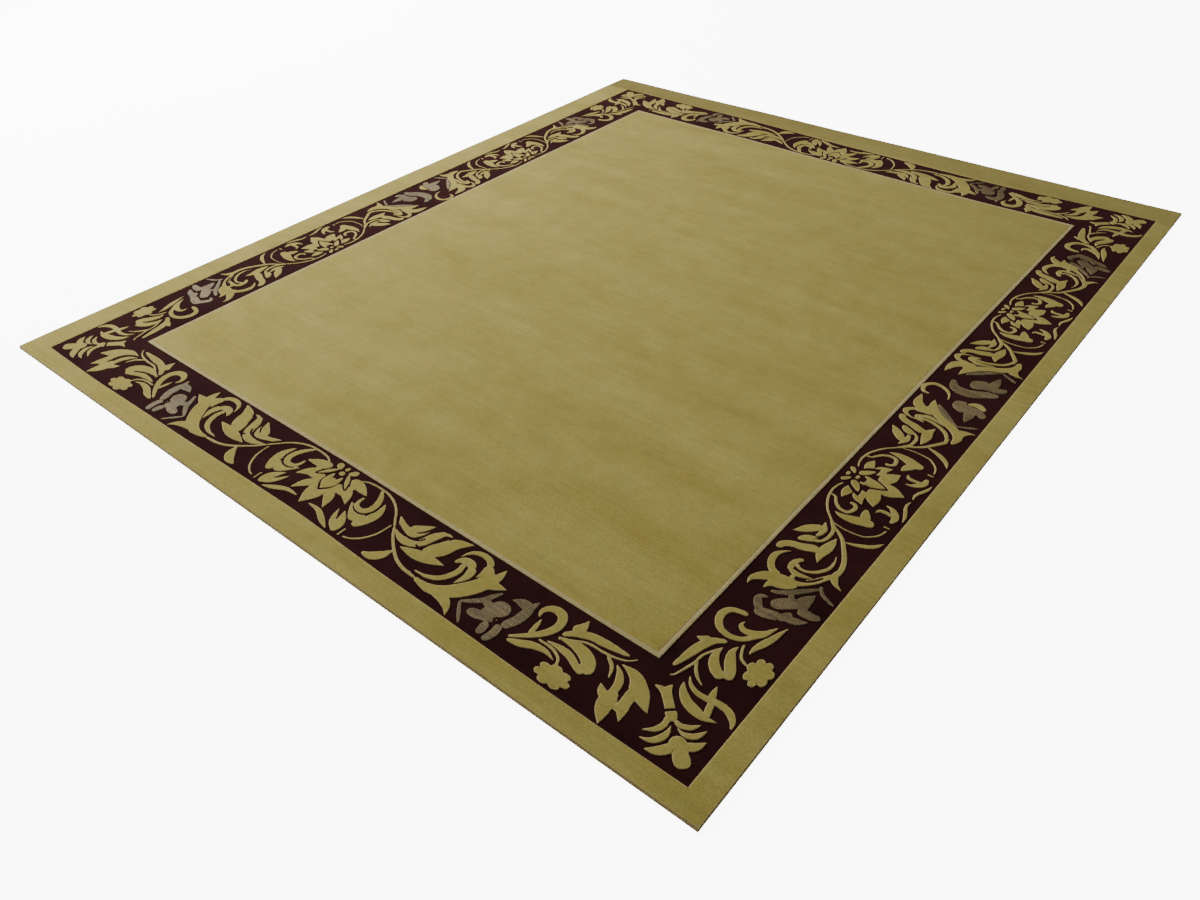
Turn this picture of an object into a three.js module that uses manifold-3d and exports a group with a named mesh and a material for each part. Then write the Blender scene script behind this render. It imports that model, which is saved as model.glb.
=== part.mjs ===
// A flat hand-knotted wool rug that lies on the floor. X runs along its short sides, Y along its long sides, and Z
// is up. The origin is in the middle of its underside. All sizes are in millimetres.
//
// The pile is clipped to two heights: the plain field, the outer margin and the scrolling leaf border stand at the
// full height, and the dark ground between the leaves is clipped lower. A cut line runs round the field.

import * as THREE from 'three';
import { mergeVertices } from 'three/addons/utils/BufferGeometryUtils.js';
import Module from 'manifold-3d';

// Overall size, and the heights of the cloth.
const WIDTH = 2447;
const LENGTH = 3055;
const PILE_TOP = 12;
const GROUND_TOP = 10;
const CUT_LINE_FLOOR = 10.5;
const EDGE_SHOULDER = 9;
const EDGE_ROUNDING = 3;

// The rug's four corners, as uneven as it lies: the direction of each from the middle, and how far it falls short of
// the overall size. The edge from each corner to the next one wanders inwards by its sway, in so many waves.
const CORNERS = [
  { name: 'front left', dirX: -1, dirY: -1, shortX: 31, shortY: 0, sway: 0, waves: 1 },
  { name: 'front right', dirX: 1, dirY: -1, shortX: 0, shortY: 3, sway: 1, waves: 1 },
  { name: 'back right', dirX: 1, dirY: 1, shortX: 6, shortY: 0, sway: 2.5, waves: 3 },
  { name: 'back left', dirX: -1, dirY: 1, shortX: 0, shortY: 29, sway: 1.5, waves: 2 },
];
const EDGE_PIECES = 10;

// The dark band lies between two rectangles, before it is bowed.
const BAND = {
  outer: { left: -1108, right: 1165, front: -1470, back: 1385 },
  width: { left: 201, right: 206, front: 203, back: 191 },
};
const DRAWN_WIDTH = 205;
const BAND_PIECES = 14;
const GUARD_LINE = 11;
const CUT_LINE = 3;

// How far the band wanders from its rectangle, in Y, along the front and along the back.
const FRONT_BOW = [
  { x: -1108, shift: 0 },
  { x: -850, shift: -4 },
  { x: -400, shift: 4 },
  { x: 60, shift: 13 },
  { x: 300, shift: 6 },
  { x: 800, shift: -1 },
  { x: 1165, shift: 0 },
];
const BACK_BOW = [
  { x: -1108, shift: 1 },
  { x: -430, shift: 4 },
  { x: 0, shift: -9 },
  { x: 300, shift: -13 },
  { x: 640, shift: -13 },
  { x: 1000, shift: 13 },
  { x: 1165, shift: 20 },
];
const BOW_FADE = 400;

// The border is one run of leaves, drawn from the middle of a lotus to a corner and mirrored about both. A station
// is a place along the run: how far it is drawn from the lotus, and its share of the run's real length on a short
// side, on a long side, and on a long side's inner run, which ends half way to the next lotus.
const STATIONS = [
  { name: 'lotus', drawn: 0, short: 0, long: 0, inner: 0 },
  { name: 'pod edge', drawn: 181, short: 0.16, long: 0.165, inner: 0.296 },
  { name: 'drop root', drawn: 296, short: 0.257, long: 0.236, inner: 0.43 },
  { name: 'leaf top', drawn: 427, short: 0.37, long: 0.343, inner: 0.604 },
  { name: 'fork', drawn: 520, short: 0.446, long: 0.394, inner: 0.7 },
  { name: 'barb', drawn: 579, short: 0.502, long: 0.478, inner: 0.86 },
  { name: 'silk edge', drawn: 656, short: 0.57, long: 0.557, inner: 1.014 },
  { name: 'flower', drawn: 798, short: 0.69, long: 0.679, inner: 1.3 },
  { name: 'spray end', drawn: 900, short: 0.782, long: 0.78, inner: 1.5 },
  { name: 'turn end', drawn: 997, short: 0.868, long: 0.853, inner: 1.7 },
  { name: 'corner', drawn: 1145, short: 1, long: 1, inner: 2 },
];

// Where the lotuses stand on each side.
const LOTUSES = [
  { side: 'front', at: 22, runs: [{ way: -1, scale: 'short' }, { way: 1, scale: 'short' }] },
  { side: 'back', at: 18, runs: [{ way: -1, scale: 'short' }, { way: 1, scale: 'short' }] },
  { side: 'right', at: -503, runs: [{ way: -1, scale: 'long' }, { way: 1, scale: 'inner', open: true }] },
  { side: 'right', at: 491, runs: [{ way: -1, scale: 'inner' }, { way: 1, scale: 'long' }] },
  { side: 'left', at: -524, runs: [{ way: -1, scale: 'long' }, { way: 1, scale: 'inner' }] },
  { side: 'left', at: 481, runs: [{ way: -1, scale: 'inner', open: true }, { way: 1, scale: 'long' }] },
];
const INNER_RUN = 500;

// The leaves. Each is swept along its spine, from root to tip. The columns are its full width, where along the spine
// it is widest, its width at the root and at the tip as shares of the full width, the pieces that the sweep has, and
// the spine's points: the distance along the side from the lotus, and the distance in from the band's outer edge.
const LOTUS_AXIS = [
  { name: 'heart', width: 34, widest: 0.6, root: 0, tip: 0.5, pieces: 2, spine: [[0, 106], [0, 134], [0, 162]] },
  { name: 'foot petal', width: 50, widest: 0.3, root: 0.7, tip: 0, pieces: 3, spine: [[0, 118], [0, 86], [0, 40]] },
];
const LOTUS_HALF = [
  { name: 'low petal', width: 28, widest: 0.4, root: 0.6, tip: 0, pieces: 2, spine: [[10, 122], [37, 101], [57, 66]] },
  { name: 'side petal', width: 34, widest: 0.3, root: 0.7, tip: 0, pieces: 2, spine: [[24, 134], [60, 134], [91, 107]] },
  { name: 'top petal', width: 30, widest: 0.3, root: 0.7, tip: 0, pieces: 3, spine: [[36, 170], [66, 168], [105, 160]] },
  { name: 'curl', width: 18, widest: 0.33, root: 0, tip: 0.3, pieces: 5,
    spine: [[119, 197], [142, 168], [141, 132], [119, 121], [106, 136], [112, 152]] },
  { name: 'pod back', width: 28, widest: 0.4, root: 0.5, tip: 0, pieces: 3, spine: [[157, 68], [174, 108], [165, 164]] },
  { name: 'pod front', width: 29, widest: 0.3, root: 0.8, tip: 0, pieces: 2, spine: [[166, 84], [136, 95], [101, 119]] },
  { name: 'bud', width: 22, widest: 0.35, root: 0.3, tip: 0, pieces: 2, spine: [[138, 28], [120, 48], [98, 83]] },
  { name: 'edge leaf', width: 17, widest: 0.5, root: 0, tip: 0, pieces: 2, spine: [[17, 51], [62, 46], [115, 19]] },
];
const SCROLL = [
  { name: 'vine', width: 6.5, widest: 0.8, root: 0.6, tip: 1, pieces: 6,
    spine: [[52, 186], [84, 198], [140, 196], [200, 168], [280, 92], [325, 62], [400, 47]] },
  { name: 'drop', width: 22, widest: 0.45, root: 0, tip: 0, pieces: 2, spine: [[297, 75], [281, 44], [245, 22]] },
  { name: 'near lobe', width: 23, widest: 0.6, root: 0, tip: 0, pieces: 3,
    spine: [[225, 164], [262, 143], [296, 148], [319, 186]] },
  { name: 'mid lobe', width: 21, widest: 0.6, root: 0, tip: 0, pieces: 3,
    spine: [[252, 126], [290, 110], [328, 128], [373, 186]] },
  { name: 'far point', width: 34, widest: 0.3, root: 0.7, tip: 0, pieces: 2, spine: [[360, 104], [382, 150], [428, 198]] },
  { name: 'far lens', width: 28, widest: 0.5, root: 0, tip: 0, pieces: 3, spine: [[303, 91], [360, 95], [421, 109]] },
  { name: 'hook', width: 34, widest: 0.12, root: 0.75, tip: 0, pieces: 5,
    spine: [[514, 118], [516, 156], [490, 184], [452, 186], [427, 152]] },
  { name: 'body', width: 50, widest: 0.66, root: 0.06, tip: 0.5, pieces: 3,
    spine: [[382, 46], [452, 42], [508, 76], [530, 145]] },
  { name: 'back point', width: 30, widest: 0.1, root: 0.9, tip: 0, pieces: 1, spine: [[526, 136], [536, 160], [543, 190]] },
  { name: 'side point', width: 32, widest: 0.1, root: 0.9, tip: 0, pieces: 1, spine: [[522, 122], [548, 134], [580, 142]] },
  { name: 'foot', width: 27, widest: 0.4, root: 0.3, tip: 0, pieces: 2, spine: [[445, 42], [498, 36], [530, 12]] },
  { name: 'inner curl', width: 18, widest: 0.6, root: 0, tip: 0, pieces: 5,
    spine: [[382, 60], [430, 72], [452, 105], [455, 145], [478, 152], [494, 128]] },
  { name: 'silk head', width: 40, widest: 0.6, root: 0.6, tip: 0.5, pieces: 2, spine: [[582, 68], [590, 92], [616, 112]] },
  { name: 'silk side', width: 32, widest: 0.35, root: 0.6, tip: 0.3, pieces: 1, spine: [[600, 62], [576, 52], [552, 54]] },
  { name: 'silk foot', width: 24, widest: 0.3, root: 0.7, tip: 0.6, pieces: 1, spine: [[590, 74], [604, 46], [606, 14]] },
];
const SILK_BAND = [
  { name: 'silk band', width: 27, widest: 0.6, root: 0.6, tip: 0.3, pieces: 3,
    spine: [[635, 10], [640, 50], [651, 92], [643, 130], [656, 164]] },
];
const SPRAY = [
  { name: 'crook', width: 18, widest: 0.6, root: 0.2, tip: 0, pieces: 7,
    spine: [[661, 57], [702, 92], [726, 126], [722, 166], [696, 178], [676, 163], [680, 135]] },
  { name: 'low blade', width: 18, widest: 0.42, root: 0, tip: 0, pieces: 2, spine: [[664, 45], [714, 68], [782, 64]] },
  { name: 'upper finger', width: 30, widest: 0.7, root: 0, tip: 0.6, pieces: 3,
    spine: [[764, 120], [818, 134], [846, 108], [850, 78]] },
  { name: 'lower finger', width: 30, widest: 0.6, root: 0, tip: 0.7, pieces: 2, spine: [[728, 98], [790, 96], [846, 76]] },
  { name: 'high leaf', width: 22, widest: 0.3, root: 0, tip: 0, pieces: 2, spine: [[742, 123], [786, 158], [896, 170]] },
  { name: 'left blade', width: 36, widest: 0.62, root: 0, tip: 0, pieces: 3,
    spine: [[887, 141], [916, 108], [921, 60], [940, 7]] },
  { name: 'right blade', width: 38, widest: 0.42, root: 0, tip: 0, pieces: 3,
    spine: [[893, 147], [942, 134], [971, 106], [998, 83]] },
  { name: 'right point', width: 25, widest: 0.3, root: 0.7, tip: 0, pieces: 2, spine: [[949, 112], [951, 78], [968, 35]] },
];
const FLOWER = { along: 799, across: 37, halfLength: 34, halfWidth: 28, lobes: 6, notch: 0.25 };

// The corner leaves are drawn from the band's outer corner: the distances in from the two sides. Each is mirrored
// about the diagonal.
const CORNER_LEAVES = [
  { name: 'star', width: 22, widest: 0.3, root: 0.6, tip: 0, pieces: 2, spine: [[128, 116], [144, 136], [151, 176]] },
  { name: 'chevron', width: 16, widest: 0.25, root: 0.85, tip: 0, pieces: 3, spine: [[118, 114], [88, 104], [56, 138]] },
  { name: 'scale', width: 18, widest: 0.5, root: 0, tip: 0, pieces: 2, spine: [[86, 94], [58, 96], [42, 131]] },
  { name: 'palm arm', width: 28, widest: 0.2, root: 0.8, tip: 0, pieces: 2, spine: [[62, 58], [42, 76], [30, 106]] },
];
const CORNER_AXIS = [
  { name: 'palm', width: 46, widest: 0.4, root: 0.8, tip: 0.6, pieces: 2, spine: [[80, 80], [56, 56], [25, 25]] },
];

const wasm = await Module();
wasm.setup();

// Turns a closed mesh into a solid that can be joined and cut.
function toSolid(geometry) {
  const bare = geometry.clone();
  bare.deleteAttribute('normal');
  bare.deleteAttribute('uv');
  const merged = mergeVertices(bare, 1e-4);
  return new wasm.Manifold(new wasm.Mesh({
    numProp: 3,
    vertProperties: merged.attributes.position.array,
    triVerts: Uint32Array.from(merged.index.array),
  }));
}

function toGeometry(solid) {
  const mesh = solid.getMesh();
  const geometry = new THREE.BufferGeometry();
  geometry.setAttribute('position', new THREE.Float32BufferAttribute(mesh.vertProperties, mesh.numProp));
  geometry.setIndex(Array.from(mesh.triVerts));
  geometry.computeVertexNormals();
  return geometry;
}

// A prism over a closed outline of plan points, from one height to another.
function prism(outline, bottom, top) {
  const shape = new THREE.Shape(outline.map(({ x, y }) => new THREE.Vector2(x, y)));
  const geometry = new THREE.ExtrudeGeometry(shape, { depth: top - bottom, bevelEnabled: false });
  return toSolid(geometry.translate(0, 0, bottom));
}

// Reads a column of a table at a place along its key column, between two rows where it falls between them.
function readAt(rows, key, column, at) {
  const next = rows.findIndex((row) => row[key] >= at);
  if (next === 0) return rows[0][column];
  if (next < 0) return rows[rows.length - 1][column];
  const [before, after] = [rows[next - 1], rows[next]];
  return THREE.MathUtils.mapLinear(at, before[key], after[key], before[column], after[column]);
}

// The rug's own outline, drawn in from its edge by the given distance.
function rugOutline(inset) {
  const corners = CORNERS.map(({ dirX, dirY, shortX, shortY }) => (
    new THREE.Vector2(dirX * (WIDTH / 2 - shortX), dirY * (LENGTH / 2 - shortY))
  ));
  const drawnIn = new THREE.Vector2(1 - inset / (WIDTH / 2), 1 - inset / (LENGTH / 2));
  return CORNERS.flatMap(({ sway, waves }, index) => {
    const start = corners[index];
    const run = corners[(index + 1) % corners.length].clone().sub(start);
    const inward = new THREE.Vector2(-run.y, run.x).normalize();
    return Array.from({ length: EDGE_PIECES }, (_, piece) => {
      const share = piece / EDGE_PIECES;
      const wander = sway * (1 - Math.cos(2 * Math.PI * waves * share)) / 2;
      return start.clone().addScaledVector(run, share).addScaledVector(inward, wander).multiply(drawnIn);
    });
  });
}

// The cloth before any clipping: a flat slab whose top edge is rounded off.
function slab() {
  const rings = [
    { inset: 0, z: 0 },
    { inset: 0, z: EDGE_SHOULDER },
    { inset: EDGE_ROUNDING, z: PILE_TOP },
  ].map(({ inset, z }) => rugOutline(inset).map(({ x, y }) => new THREE.Vector3(x, y, z)));
  const count = rings[0].length;
  const positions = rings.flat().flatMap(({ x, y, z }) => [x, y, z]);
  const faces = [];
  for (let ring = 0; ring + 1 < rings.length; ring++) {
    for (let i = 0; i < count; i++) {
      const [a, b] = [ring * count + i, ring * count + ((i + 1) % count)];
      faces.push(a, b, b + count, a, b + count, a + count);
    }
  }
  const top = (rings.length - 1) * count;
  for (const [a, b, c] of THREE.ShapeUtils.triangulateShape(rugOutline(0), [])) {
    faces.push(c, b, a);
    faces.push(top + a, top + b, top + c);
  }
  const geometry = new THREE.BufferGeometry();
  geometry.setAttribute('position', new THREE.Float32BufferAttribute(positions, 3));
  geometry.setIndex(faces);
  return toSolid(geometry);
}

// Moves a point of the unbowed border to where it lies on the rug. The bow is full across the band and dies away
// towards the rug's edge and into the field.
function bowed({ x, y }) {
  const { outer, width } = BAND;
  const frontInner = outer.front + width.front;
  const backInner = outer.back - width.back;
  const front = THREE.MathUtils.clamp(1 - (y - frontInner) / BOW_FADE, 0, 1);
  const back = THREE.MathUtils.clamp(1 - (backInner - y) / BOW_FADE, 0, 1);
  const shift = front * readAt(FRONT_BOW, 'x', 'shift', x) + back * readAt(BACK_BOW, 'x', 'shift', x);
  return new THREE.Vector2(x, y + shift);
}

// A rectangle inside the band's outer edge, by a share of the band's width and then a distance, bowed as the band is.
function bandRectangle(share, further = 0) {
  const { outer, width } = BAND;
  const left = outer.left + width.left * share + further;
  const right = outer.right - width.right * share - further;
  const front = outer.front + width.front * share + further;
  const back = outer.back - width.back * share - further;
  const corners = [[left, front], [right, front], [right, back], [left, back]];
  return corners.flatMap(([x, y], index) => {
    const [nextX, nextY] = corners[(index + 1) % corners.length];
    return Array.from({ length: BAND_PIECES }, (_, piece) => bowed({
      x: THREE.MathUtils.lerp(x, nextX, piece / BAND_PIECES),
      y: THREE.MathUtils.lerp(y, nextY, piece / BAND_PIECES),
    }));
  });
}

// A leaf's width at a place along its spine, as a share of its full width.
function widthShare({ widest, root, tip }, place) {
  if (place < widest) return root + (1 - root) * Math.sin(Math.PI / 2 * place / widest);
  return tip + (1 - tip) * Math.cos(Math.PI / 2 * (place - widest) / (1 - widest));
}

// A leaf's closed outline in the drawing. A pointed end is a single point.
function leafOutline(leaf) {
  const spine = new THREE.CatmullRomCurve3(leaf.spine.map(([along, across]) => new THREE.Vector3(along, across, 0)));
  const near = [];
  const far = [];
  for (let piece = 0; piece <= leaf.pieces; piece++) {
    const place = piece / leaf.pieces;
    const half = leaf.width * widthShare(leaf, place) / 2;
    const point = spine.getPointAt(place);
    const ahead = spine.getTangentAt(place);
    near.push({ along: point.x - ahead.y * half, across: point.y + ahead.x * half });
    if (half > 0.5) far.unshift({ along: point.x + ahead.y * half, across: point.y - ahead.x * half });
  }
  return [...near, ...far];
}

// The round flower's outline: a circle with a notch between its lobes.
function flowerOutline({ along, across, halfLength, halfWidth, lobes, notch }) {
  return Array.from({ length: 2 * lobes }, (_, index) => {
    const angle = Math.PI * index / lobes;
    const reach = index % 2 ? 1 - notch : 1;
    return { along: along + halfLength * reach * Math.cos(angle), across: across + halfWidth * reach * Math.sin(angle) };
  });
}

// The real distance from the lotus of a place in the drawing.
function stretched(along, scale, length) {
  return Math.sign(along) * length * readAt(STATIONS, 'drawn', scale, Math.abs(along));
}

// Puts a point given by its place along a side and its share of the band's width onto the rug.
function onSide(side, along, share) {
  const { outer, width } = BAND;
  const inward = width[side] * share;
  if (side === 'front') return bowed({ x: along, y: outer.front + inward });
  if (side === 'back') return bowed({ x: along, y: outer.back - inward });
  if (side === 'right') return bowed({ x: outer.right - inward, y: along });
  return bowed({ x: outer.left + inward, y: along });
}

// The outlines of one run of the border, from its lotus to the corner or to the middle of a long side.
function runOutlines({ side, at }, { way, scale, open }) {
  const ends = side === 'front' || side === 'back' ? ['left', 'right'] : ['front', 'back'];
  const corner = BAND.outer[ends[way < 0 ? 0 : 1]];
  const length = scale === 'inner' ? INNER_RUN : Math.abs(corner - at);
  const place = (points) => points.map(({ along, across }) => (
    onSide(side, at + way * stretched(along, scale, length), across / DRAWN_WIDTH)
  ));
  const leaves = [...LOTUS_HALF, ...SCROLL];
  if (way > 0) leaves.push(...LOTUS_AXIS);
  if (!open) leaves.push(...SILK_BAND);
  if (scale !== 'inner') leaves.push(...SPRAY);
  const outlines = leaves.map((leaf) => place(leafOutline(leaf)));
  if (scale !== 'inner') outlines.push(place(flowerOutline(FLOWER)));
  return outlines;
}

// The outlines of one corner's leaves, each mirrored about the diagonal.
function cornerOutlines(xSide, ySide) {
  const { outer, width } = BAND;
  const place = (points, mirrored) => points.map(({ along, across }) => {
    const [inX, inY] = mirrored ? [across, along] : [along, across];
    return bowed({
      x: outer[xSide] - Math.sign(outer[xSide]) * inX * width[xSide] / DRAWN_WIDTH,
      y: outer[ySide] - Math.sign(outer[ySide]) * inY * width[ySide] / DRAWN_WIDTH,
    });
  });
  const pairs = CORNER_LEAVES.flatMap((leaf) => [false, true].map((mirrored) => place(leafOutline(leaf), mirrored)));
  return [...pairs, ...CORNER_AXIS.map((leaf) => place(leafOutline(leaf), false))];
}

// Every leaf of the border, joined into one solid that reaches past both of the pile's heights.
function borderLeaves() {
  const outlines = LOTUSES.flatMap((lotus) => lotus.runs.flatMap((run) => runOutlines(lotus, run)));
  for (const xSide of ['left', 'right']) {
    for (const ySide of ['front', 'back']) outlines.push(...cornerOutlines(xSide, ySide));
  }
  return wasm.Manifold.union(outlines.map((outline) => prism(outline, GROUND_TOP - 1, PILE_TOP + 2)));
}

// What is clipped away: the ground between the leaves, and the cut line round the field.
function clippings() {
  const band = prism(bandRectangle(0), GROUND_TOP, PILE_TOP + 1).subtract(
    prism(bandRectangle(1), GROUND_TOP - 0.5, PILE_TOP + 1.5),
  );
  const cutLine = prism(bandRectangle(1, GUARD_LINE), CUT_LINE_FLOOR, PILE_TOP + 1).subtract(
    prism(bandRectangle(1, GUARD_LINE + CUT_LINE), CUT_LINE_FLOOR - 0.5, PILE_TOP + 1.5),
  );
  return band.subtract(borderLeaves()).add(cutLine);
}

const rug = new THREE.Mesh(
  toGeometry(slab().subtract(clippings())),
  new THREE.MeshStandardMaterial({ color: 0xa0915a, roughness: 0.95, metalness: 0 }),
);
rug.name = 'rug';

const group = new THREE.Group();
group.add(rug);

export default group;
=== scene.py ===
"""Dresses the rug: carved wool pile on a woven foundation, in the frame of its CAD sheet.

The charts and the plan of the rug are in millimetres, as a knotter's chart is. Meshes are made in metres.
"""
import logging
import math
from collections import Counter
from collections.abc import Callable
from dataclasses import dataclass, field
from enum import Enum

import bpy
import numpy as np
from mathutils import Matrix, Vector, kdtree
from mathutils.geometry import delaunay_2d_cdt


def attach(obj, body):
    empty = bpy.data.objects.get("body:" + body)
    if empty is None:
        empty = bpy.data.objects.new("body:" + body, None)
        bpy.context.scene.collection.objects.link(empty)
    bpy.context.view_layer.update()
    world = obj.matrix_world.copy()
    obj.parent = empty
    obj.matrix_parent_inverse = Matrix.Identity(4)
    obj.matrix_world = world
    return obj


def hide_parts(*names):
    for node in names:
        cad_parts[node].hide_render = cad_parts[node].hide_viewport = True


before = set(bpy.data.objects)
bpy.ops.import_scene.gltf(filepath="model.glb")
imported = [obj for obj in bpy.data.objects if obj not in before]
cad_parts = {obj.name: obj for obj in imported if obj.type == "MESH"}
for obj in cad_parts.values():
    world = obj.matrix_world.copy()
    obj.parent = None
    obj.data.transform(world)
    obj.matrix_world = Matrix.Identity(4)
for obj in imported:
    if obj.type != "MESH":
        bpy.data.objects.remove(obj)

LOG = logging.getLogger("rug")
Socket = bpy.types.NodeSocket
MM = 0.001
NODE = "rug"
TINY = 1e-9
FAR = 1e6


# Names for the choices

class Yarn(Enum):
    """The yarns, by the material slot of the record that each takes its finish from."""
    GOLD = "gold_wool"
    CREAM = "cream_wool"
    BURGUNDY = "burgundy_wool"
    SILK = "silk"
    FOUNDATION = "foundation"


class Area(Enum):
    """What a part of the plan is filled with."""
    OUTSIDE = -1
    GROUND = 0
    LEAF = 1
    SILK = 2
    PLAIN = 3


class Side(Enum):
    """The four sides of the rug."""
    FRONT = "front"
    RIGHT = "right"
    BACK = "back"
    LEFT = "left"


class Scale(Enum):
    """Which column of the stations a run is stretched by."""
    SHORT = "short"
    LONG = "long"
    INNER = "inner"


# The charts

@dataclass(frozen=True)
class Stroke:
    """A leaf swept along its spine.

    Its points are the distance along the side from the lotus, and the distance in from the band's outer edge.
    widest is where along the spine it has its full width. root and tip are shares of that width.
    """
    name: str
    width: float
    widest: float
    root: float
    tip: float
    spine: tuple
    paint: Area = Area.LEAF
    samples: int = 40
    longest_cap: float = 0.3

    def outline(self) -> np.ndarray:
        """Sweeps the width along the spine.

        Returns:
            The closed outline's points, N by 2, in mm.
        """
        centre = smooth_path(np.array(self.spine, float), self.samples)
        ahead = np.gradient(centre, axis=0)
        ahead /= np.linalg.norm(ahead, axis=1)[:, None]
        normal = np.c_[-ahead[:, 1], ahead[:, 0]]
        place = np.linspace(0.0, 1.0, self.samples)
        rise = self.root + (1 - self.root) * np.sin(math.pi / 2 * place / max(self.widest, TINY))
        fall = self.tip + (1 - self.tip) * np.cos(math.pi / 2 * (place - self.widest) / (1 - self.widest))
        share = np.where(place < self.widest, rise, fall)
        length = np.linalg.norm(np.diff(centre, axis=0), axis=1).sum()
        share = share * self._rounding(place, self.root, length) * self._rounding(1 - place, self.tip, length)
        half = (self.width / 2 * share)[:, None]
        return np.vstack([centre + normal * half, (centre - normal * half)[::-1]])

    def _rounding(self, place: np.ndarray, end: float, length: float) -> np.ndarray:
        """Rounds off a blunt end.

        Args:
            place: How far along each sample is from that end, from 0 to 1.
            end: The width at that end as a share of the full width.
            length: The spine's length in mm.

        Returns:
            The share of its width that each sample keeps.
        """
        if end <= 0:
            return np.ones_like(place)
        reach = min(self.longest_cap, self.width * end / 2 / length)
        return np.sqrt(1 - (1 - np.clip(place / reach, 0, 1)) ** 2)


@dataclass(frozen=True)
class RoundFlower:
    """A round flower with lobes, drawn in the same way as a stroke."""
    name: str
    centre: tuple
    radii: tuple
    lobes: int
    notch: float
    paint: Area = Area.LEAF
    samples: int = 96
    turn: float = 0.3
    sharpness: float = 1.5

    def outline(self) -> np.ndarray:
        """Draws the lobes.

        Returns:
            The closed outline's points, N by 2, in mm.
        """
        angle = np.linspace(0, 2 * math.pi, self.samples, endpoint=False)
        between = 1 - np.abs(np.cos(self.lobes * angle / 2 + self.turn))
        reach = 1 - self.notch * between ** self.sharpness
        return np.c_[self.centre[0] + self.radii[0] * reach * np.cos(angle),
                     self.centre[1] + self.radii[1] * reach * np.sin(angle)]


def smooth_path(points: np.ndarray, count: int) -> np.ndarray:
    """Passes a smooth curve through points.

    Args:
        points: The points, N by 2.
        count: How many samples the curve gets.

    Returns:
        The samples, count by 2, evenly spaced along the curve's chords.
    """
    chord = np.r_[0, np.cumsum(np.linalg.norm(np.diff(points, axis=0), axis=1))]
    slope = np.gradient(points, chord, axis=0)
    at = np.linspace(0, chord[-1], count)
    cell = np.clip(np.searchsorted(chord, at, side="right") - 1, 0, len(chord) - 2)
    span = (chord[cell + 1] - chord[cell])[:, None]
    t = (at - chord[cell])[:, None] / span
    start, end = points[cell], points[cell + 1]
    leave, arrive = slope[cell] * span, slope[cell + 1] * span
    return ((2 * t ** 3 - 3 * t ** 2 + 1) * start + (t ** 3 - 2 * t ** 2 + t) * leave
            + (-2 * t ** 3 + 3 * t ** 2) * end + (t ** 3 - t ** 2) * arrive)


ROUND_FLOWER = RoundFlower("round flower", (810, 34), (43, 28), 7, 0.28)

# Painted with its mirror image about the lotus axis
LOTUS = (
    Stroke("foot petal", 50, 0.30, 0.70, 0, ((0, 106), (0, 74), (0, 24))),
    Stroke("low petal", 28, 0.40, 0.60, 0, ((10, 110), (38, 88), (61, 47))),
    Stroke("side petal", 35, 0.35, 0.55, 0, ((20, 116), (62, 121), (94, 91))),
    Stroke("side shoulder", 24, 0.30, 0.60, 0, ((47, 116), (58, 134), (72, 148))),
    Stroke("top petal", 30, 0.32, 0.75, 0, ((38, 160), (70, 157), (112, 145))),
    Stroke("heart line", 48, 0.50, 0, 0.62, ((0, 82), (0, 122), (0, 160)), Area.GROUND),
    Stroke("slip line", 22, 0.45, 0.30, 0.30, ((14, 173), (34, 148), (55, 122)), Area.GROUND),
    Stroke("heart", 31, 0.50, 0, 0, ((0, 90), (0, 116), (0, 141))),
    Stroke("heart prong", 20, 0.45, 0, 0.12, ((1, 94), (11, 120), (15, 153))),
    Stroke("slip", 12.5, 0.45, 0.30, 0.15, ((19, 168), (34, 149), (51, 126))),
    Stroke("bead", 15, 0.50, 0.50, 0.50, ((-9, 161), (0, 162), (9, 161))),
    Stroke("crown bead", 12, 0.50, 0.40, 0.50, ((0, 173), (0, 181), (0, 190))),
    Stroke("crown petal", 19, 0.55, 0.35, 0.70, ((15, 170), (25, 180), (34, 190))),
)
RING = (
    Stroke("pod back", 27, 0.50, 0.75, 0,
           ((156, 58), (167, 72), (175, 92), (179, 118), (176, 136), (168, 158))),
    Stroke("pod front", 43, 0.15, 0.90, 0, ((160, 76), (136, 89), (98, 108))),
    Stroke("curl line", 30, 0.45, 0.50, 0.60,
           ((135, 174), (147, 160), (154, 137), (153, 118), (143, 105), (129, 103), (112, 113)), Area.GROUND),
    Stroke("curl", 18, 0.40, 0.35, 0.35,
           ((125, 185), (145, 160), (154, 137), (153, 118), (143, 105), (129, 103), (116, 110),
            (111, 123), (112, 139))),
    Stroke("ring top", 6.4, 0.50, 0.70, 1.0,
           ((57, 170), (72, 180), (105, 187), (145, 186), (172, 178), (199, 163), (229, 134), (246, 117))),
    Stroke("bud foot", 16, 0.35, 0.35, 0, ((137, 15), (113, 37), (92, 76))),
    Stroke("bud head", 25, 0.35, 0.50, 0, ((138, 12), (134, 38), (110, 79))),
    Stroke("edge leaf", 16, 0.60, 0.20, 0, ((22, 38), (58, 37), (92, 21), (123, 7))),
    Stroke("dash", 6.0, 0.50, 0.80, 0.80, ((159, 40), (159, 26), (159, 12))),
    Stroke("ring foot", 6.4, 0.50, 0.65, 0.60,
           ((234, 119), (233, 97), (229, 74), (219, 53), (207, 37), (190, 24), (171, 17))),
    Stroke("vine", 8.4, 0.75, 0.80, 1.0,
           ((243, 120), (263, 98), (283, 81), (302, 67), (326, 52), (352, 43), (402, 39))),
    Stroke("drop", 27, 0.50, 0.10, 0.20, ((301, 66), (291, 38), (273, 21), (247, 14))),
)
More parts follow.
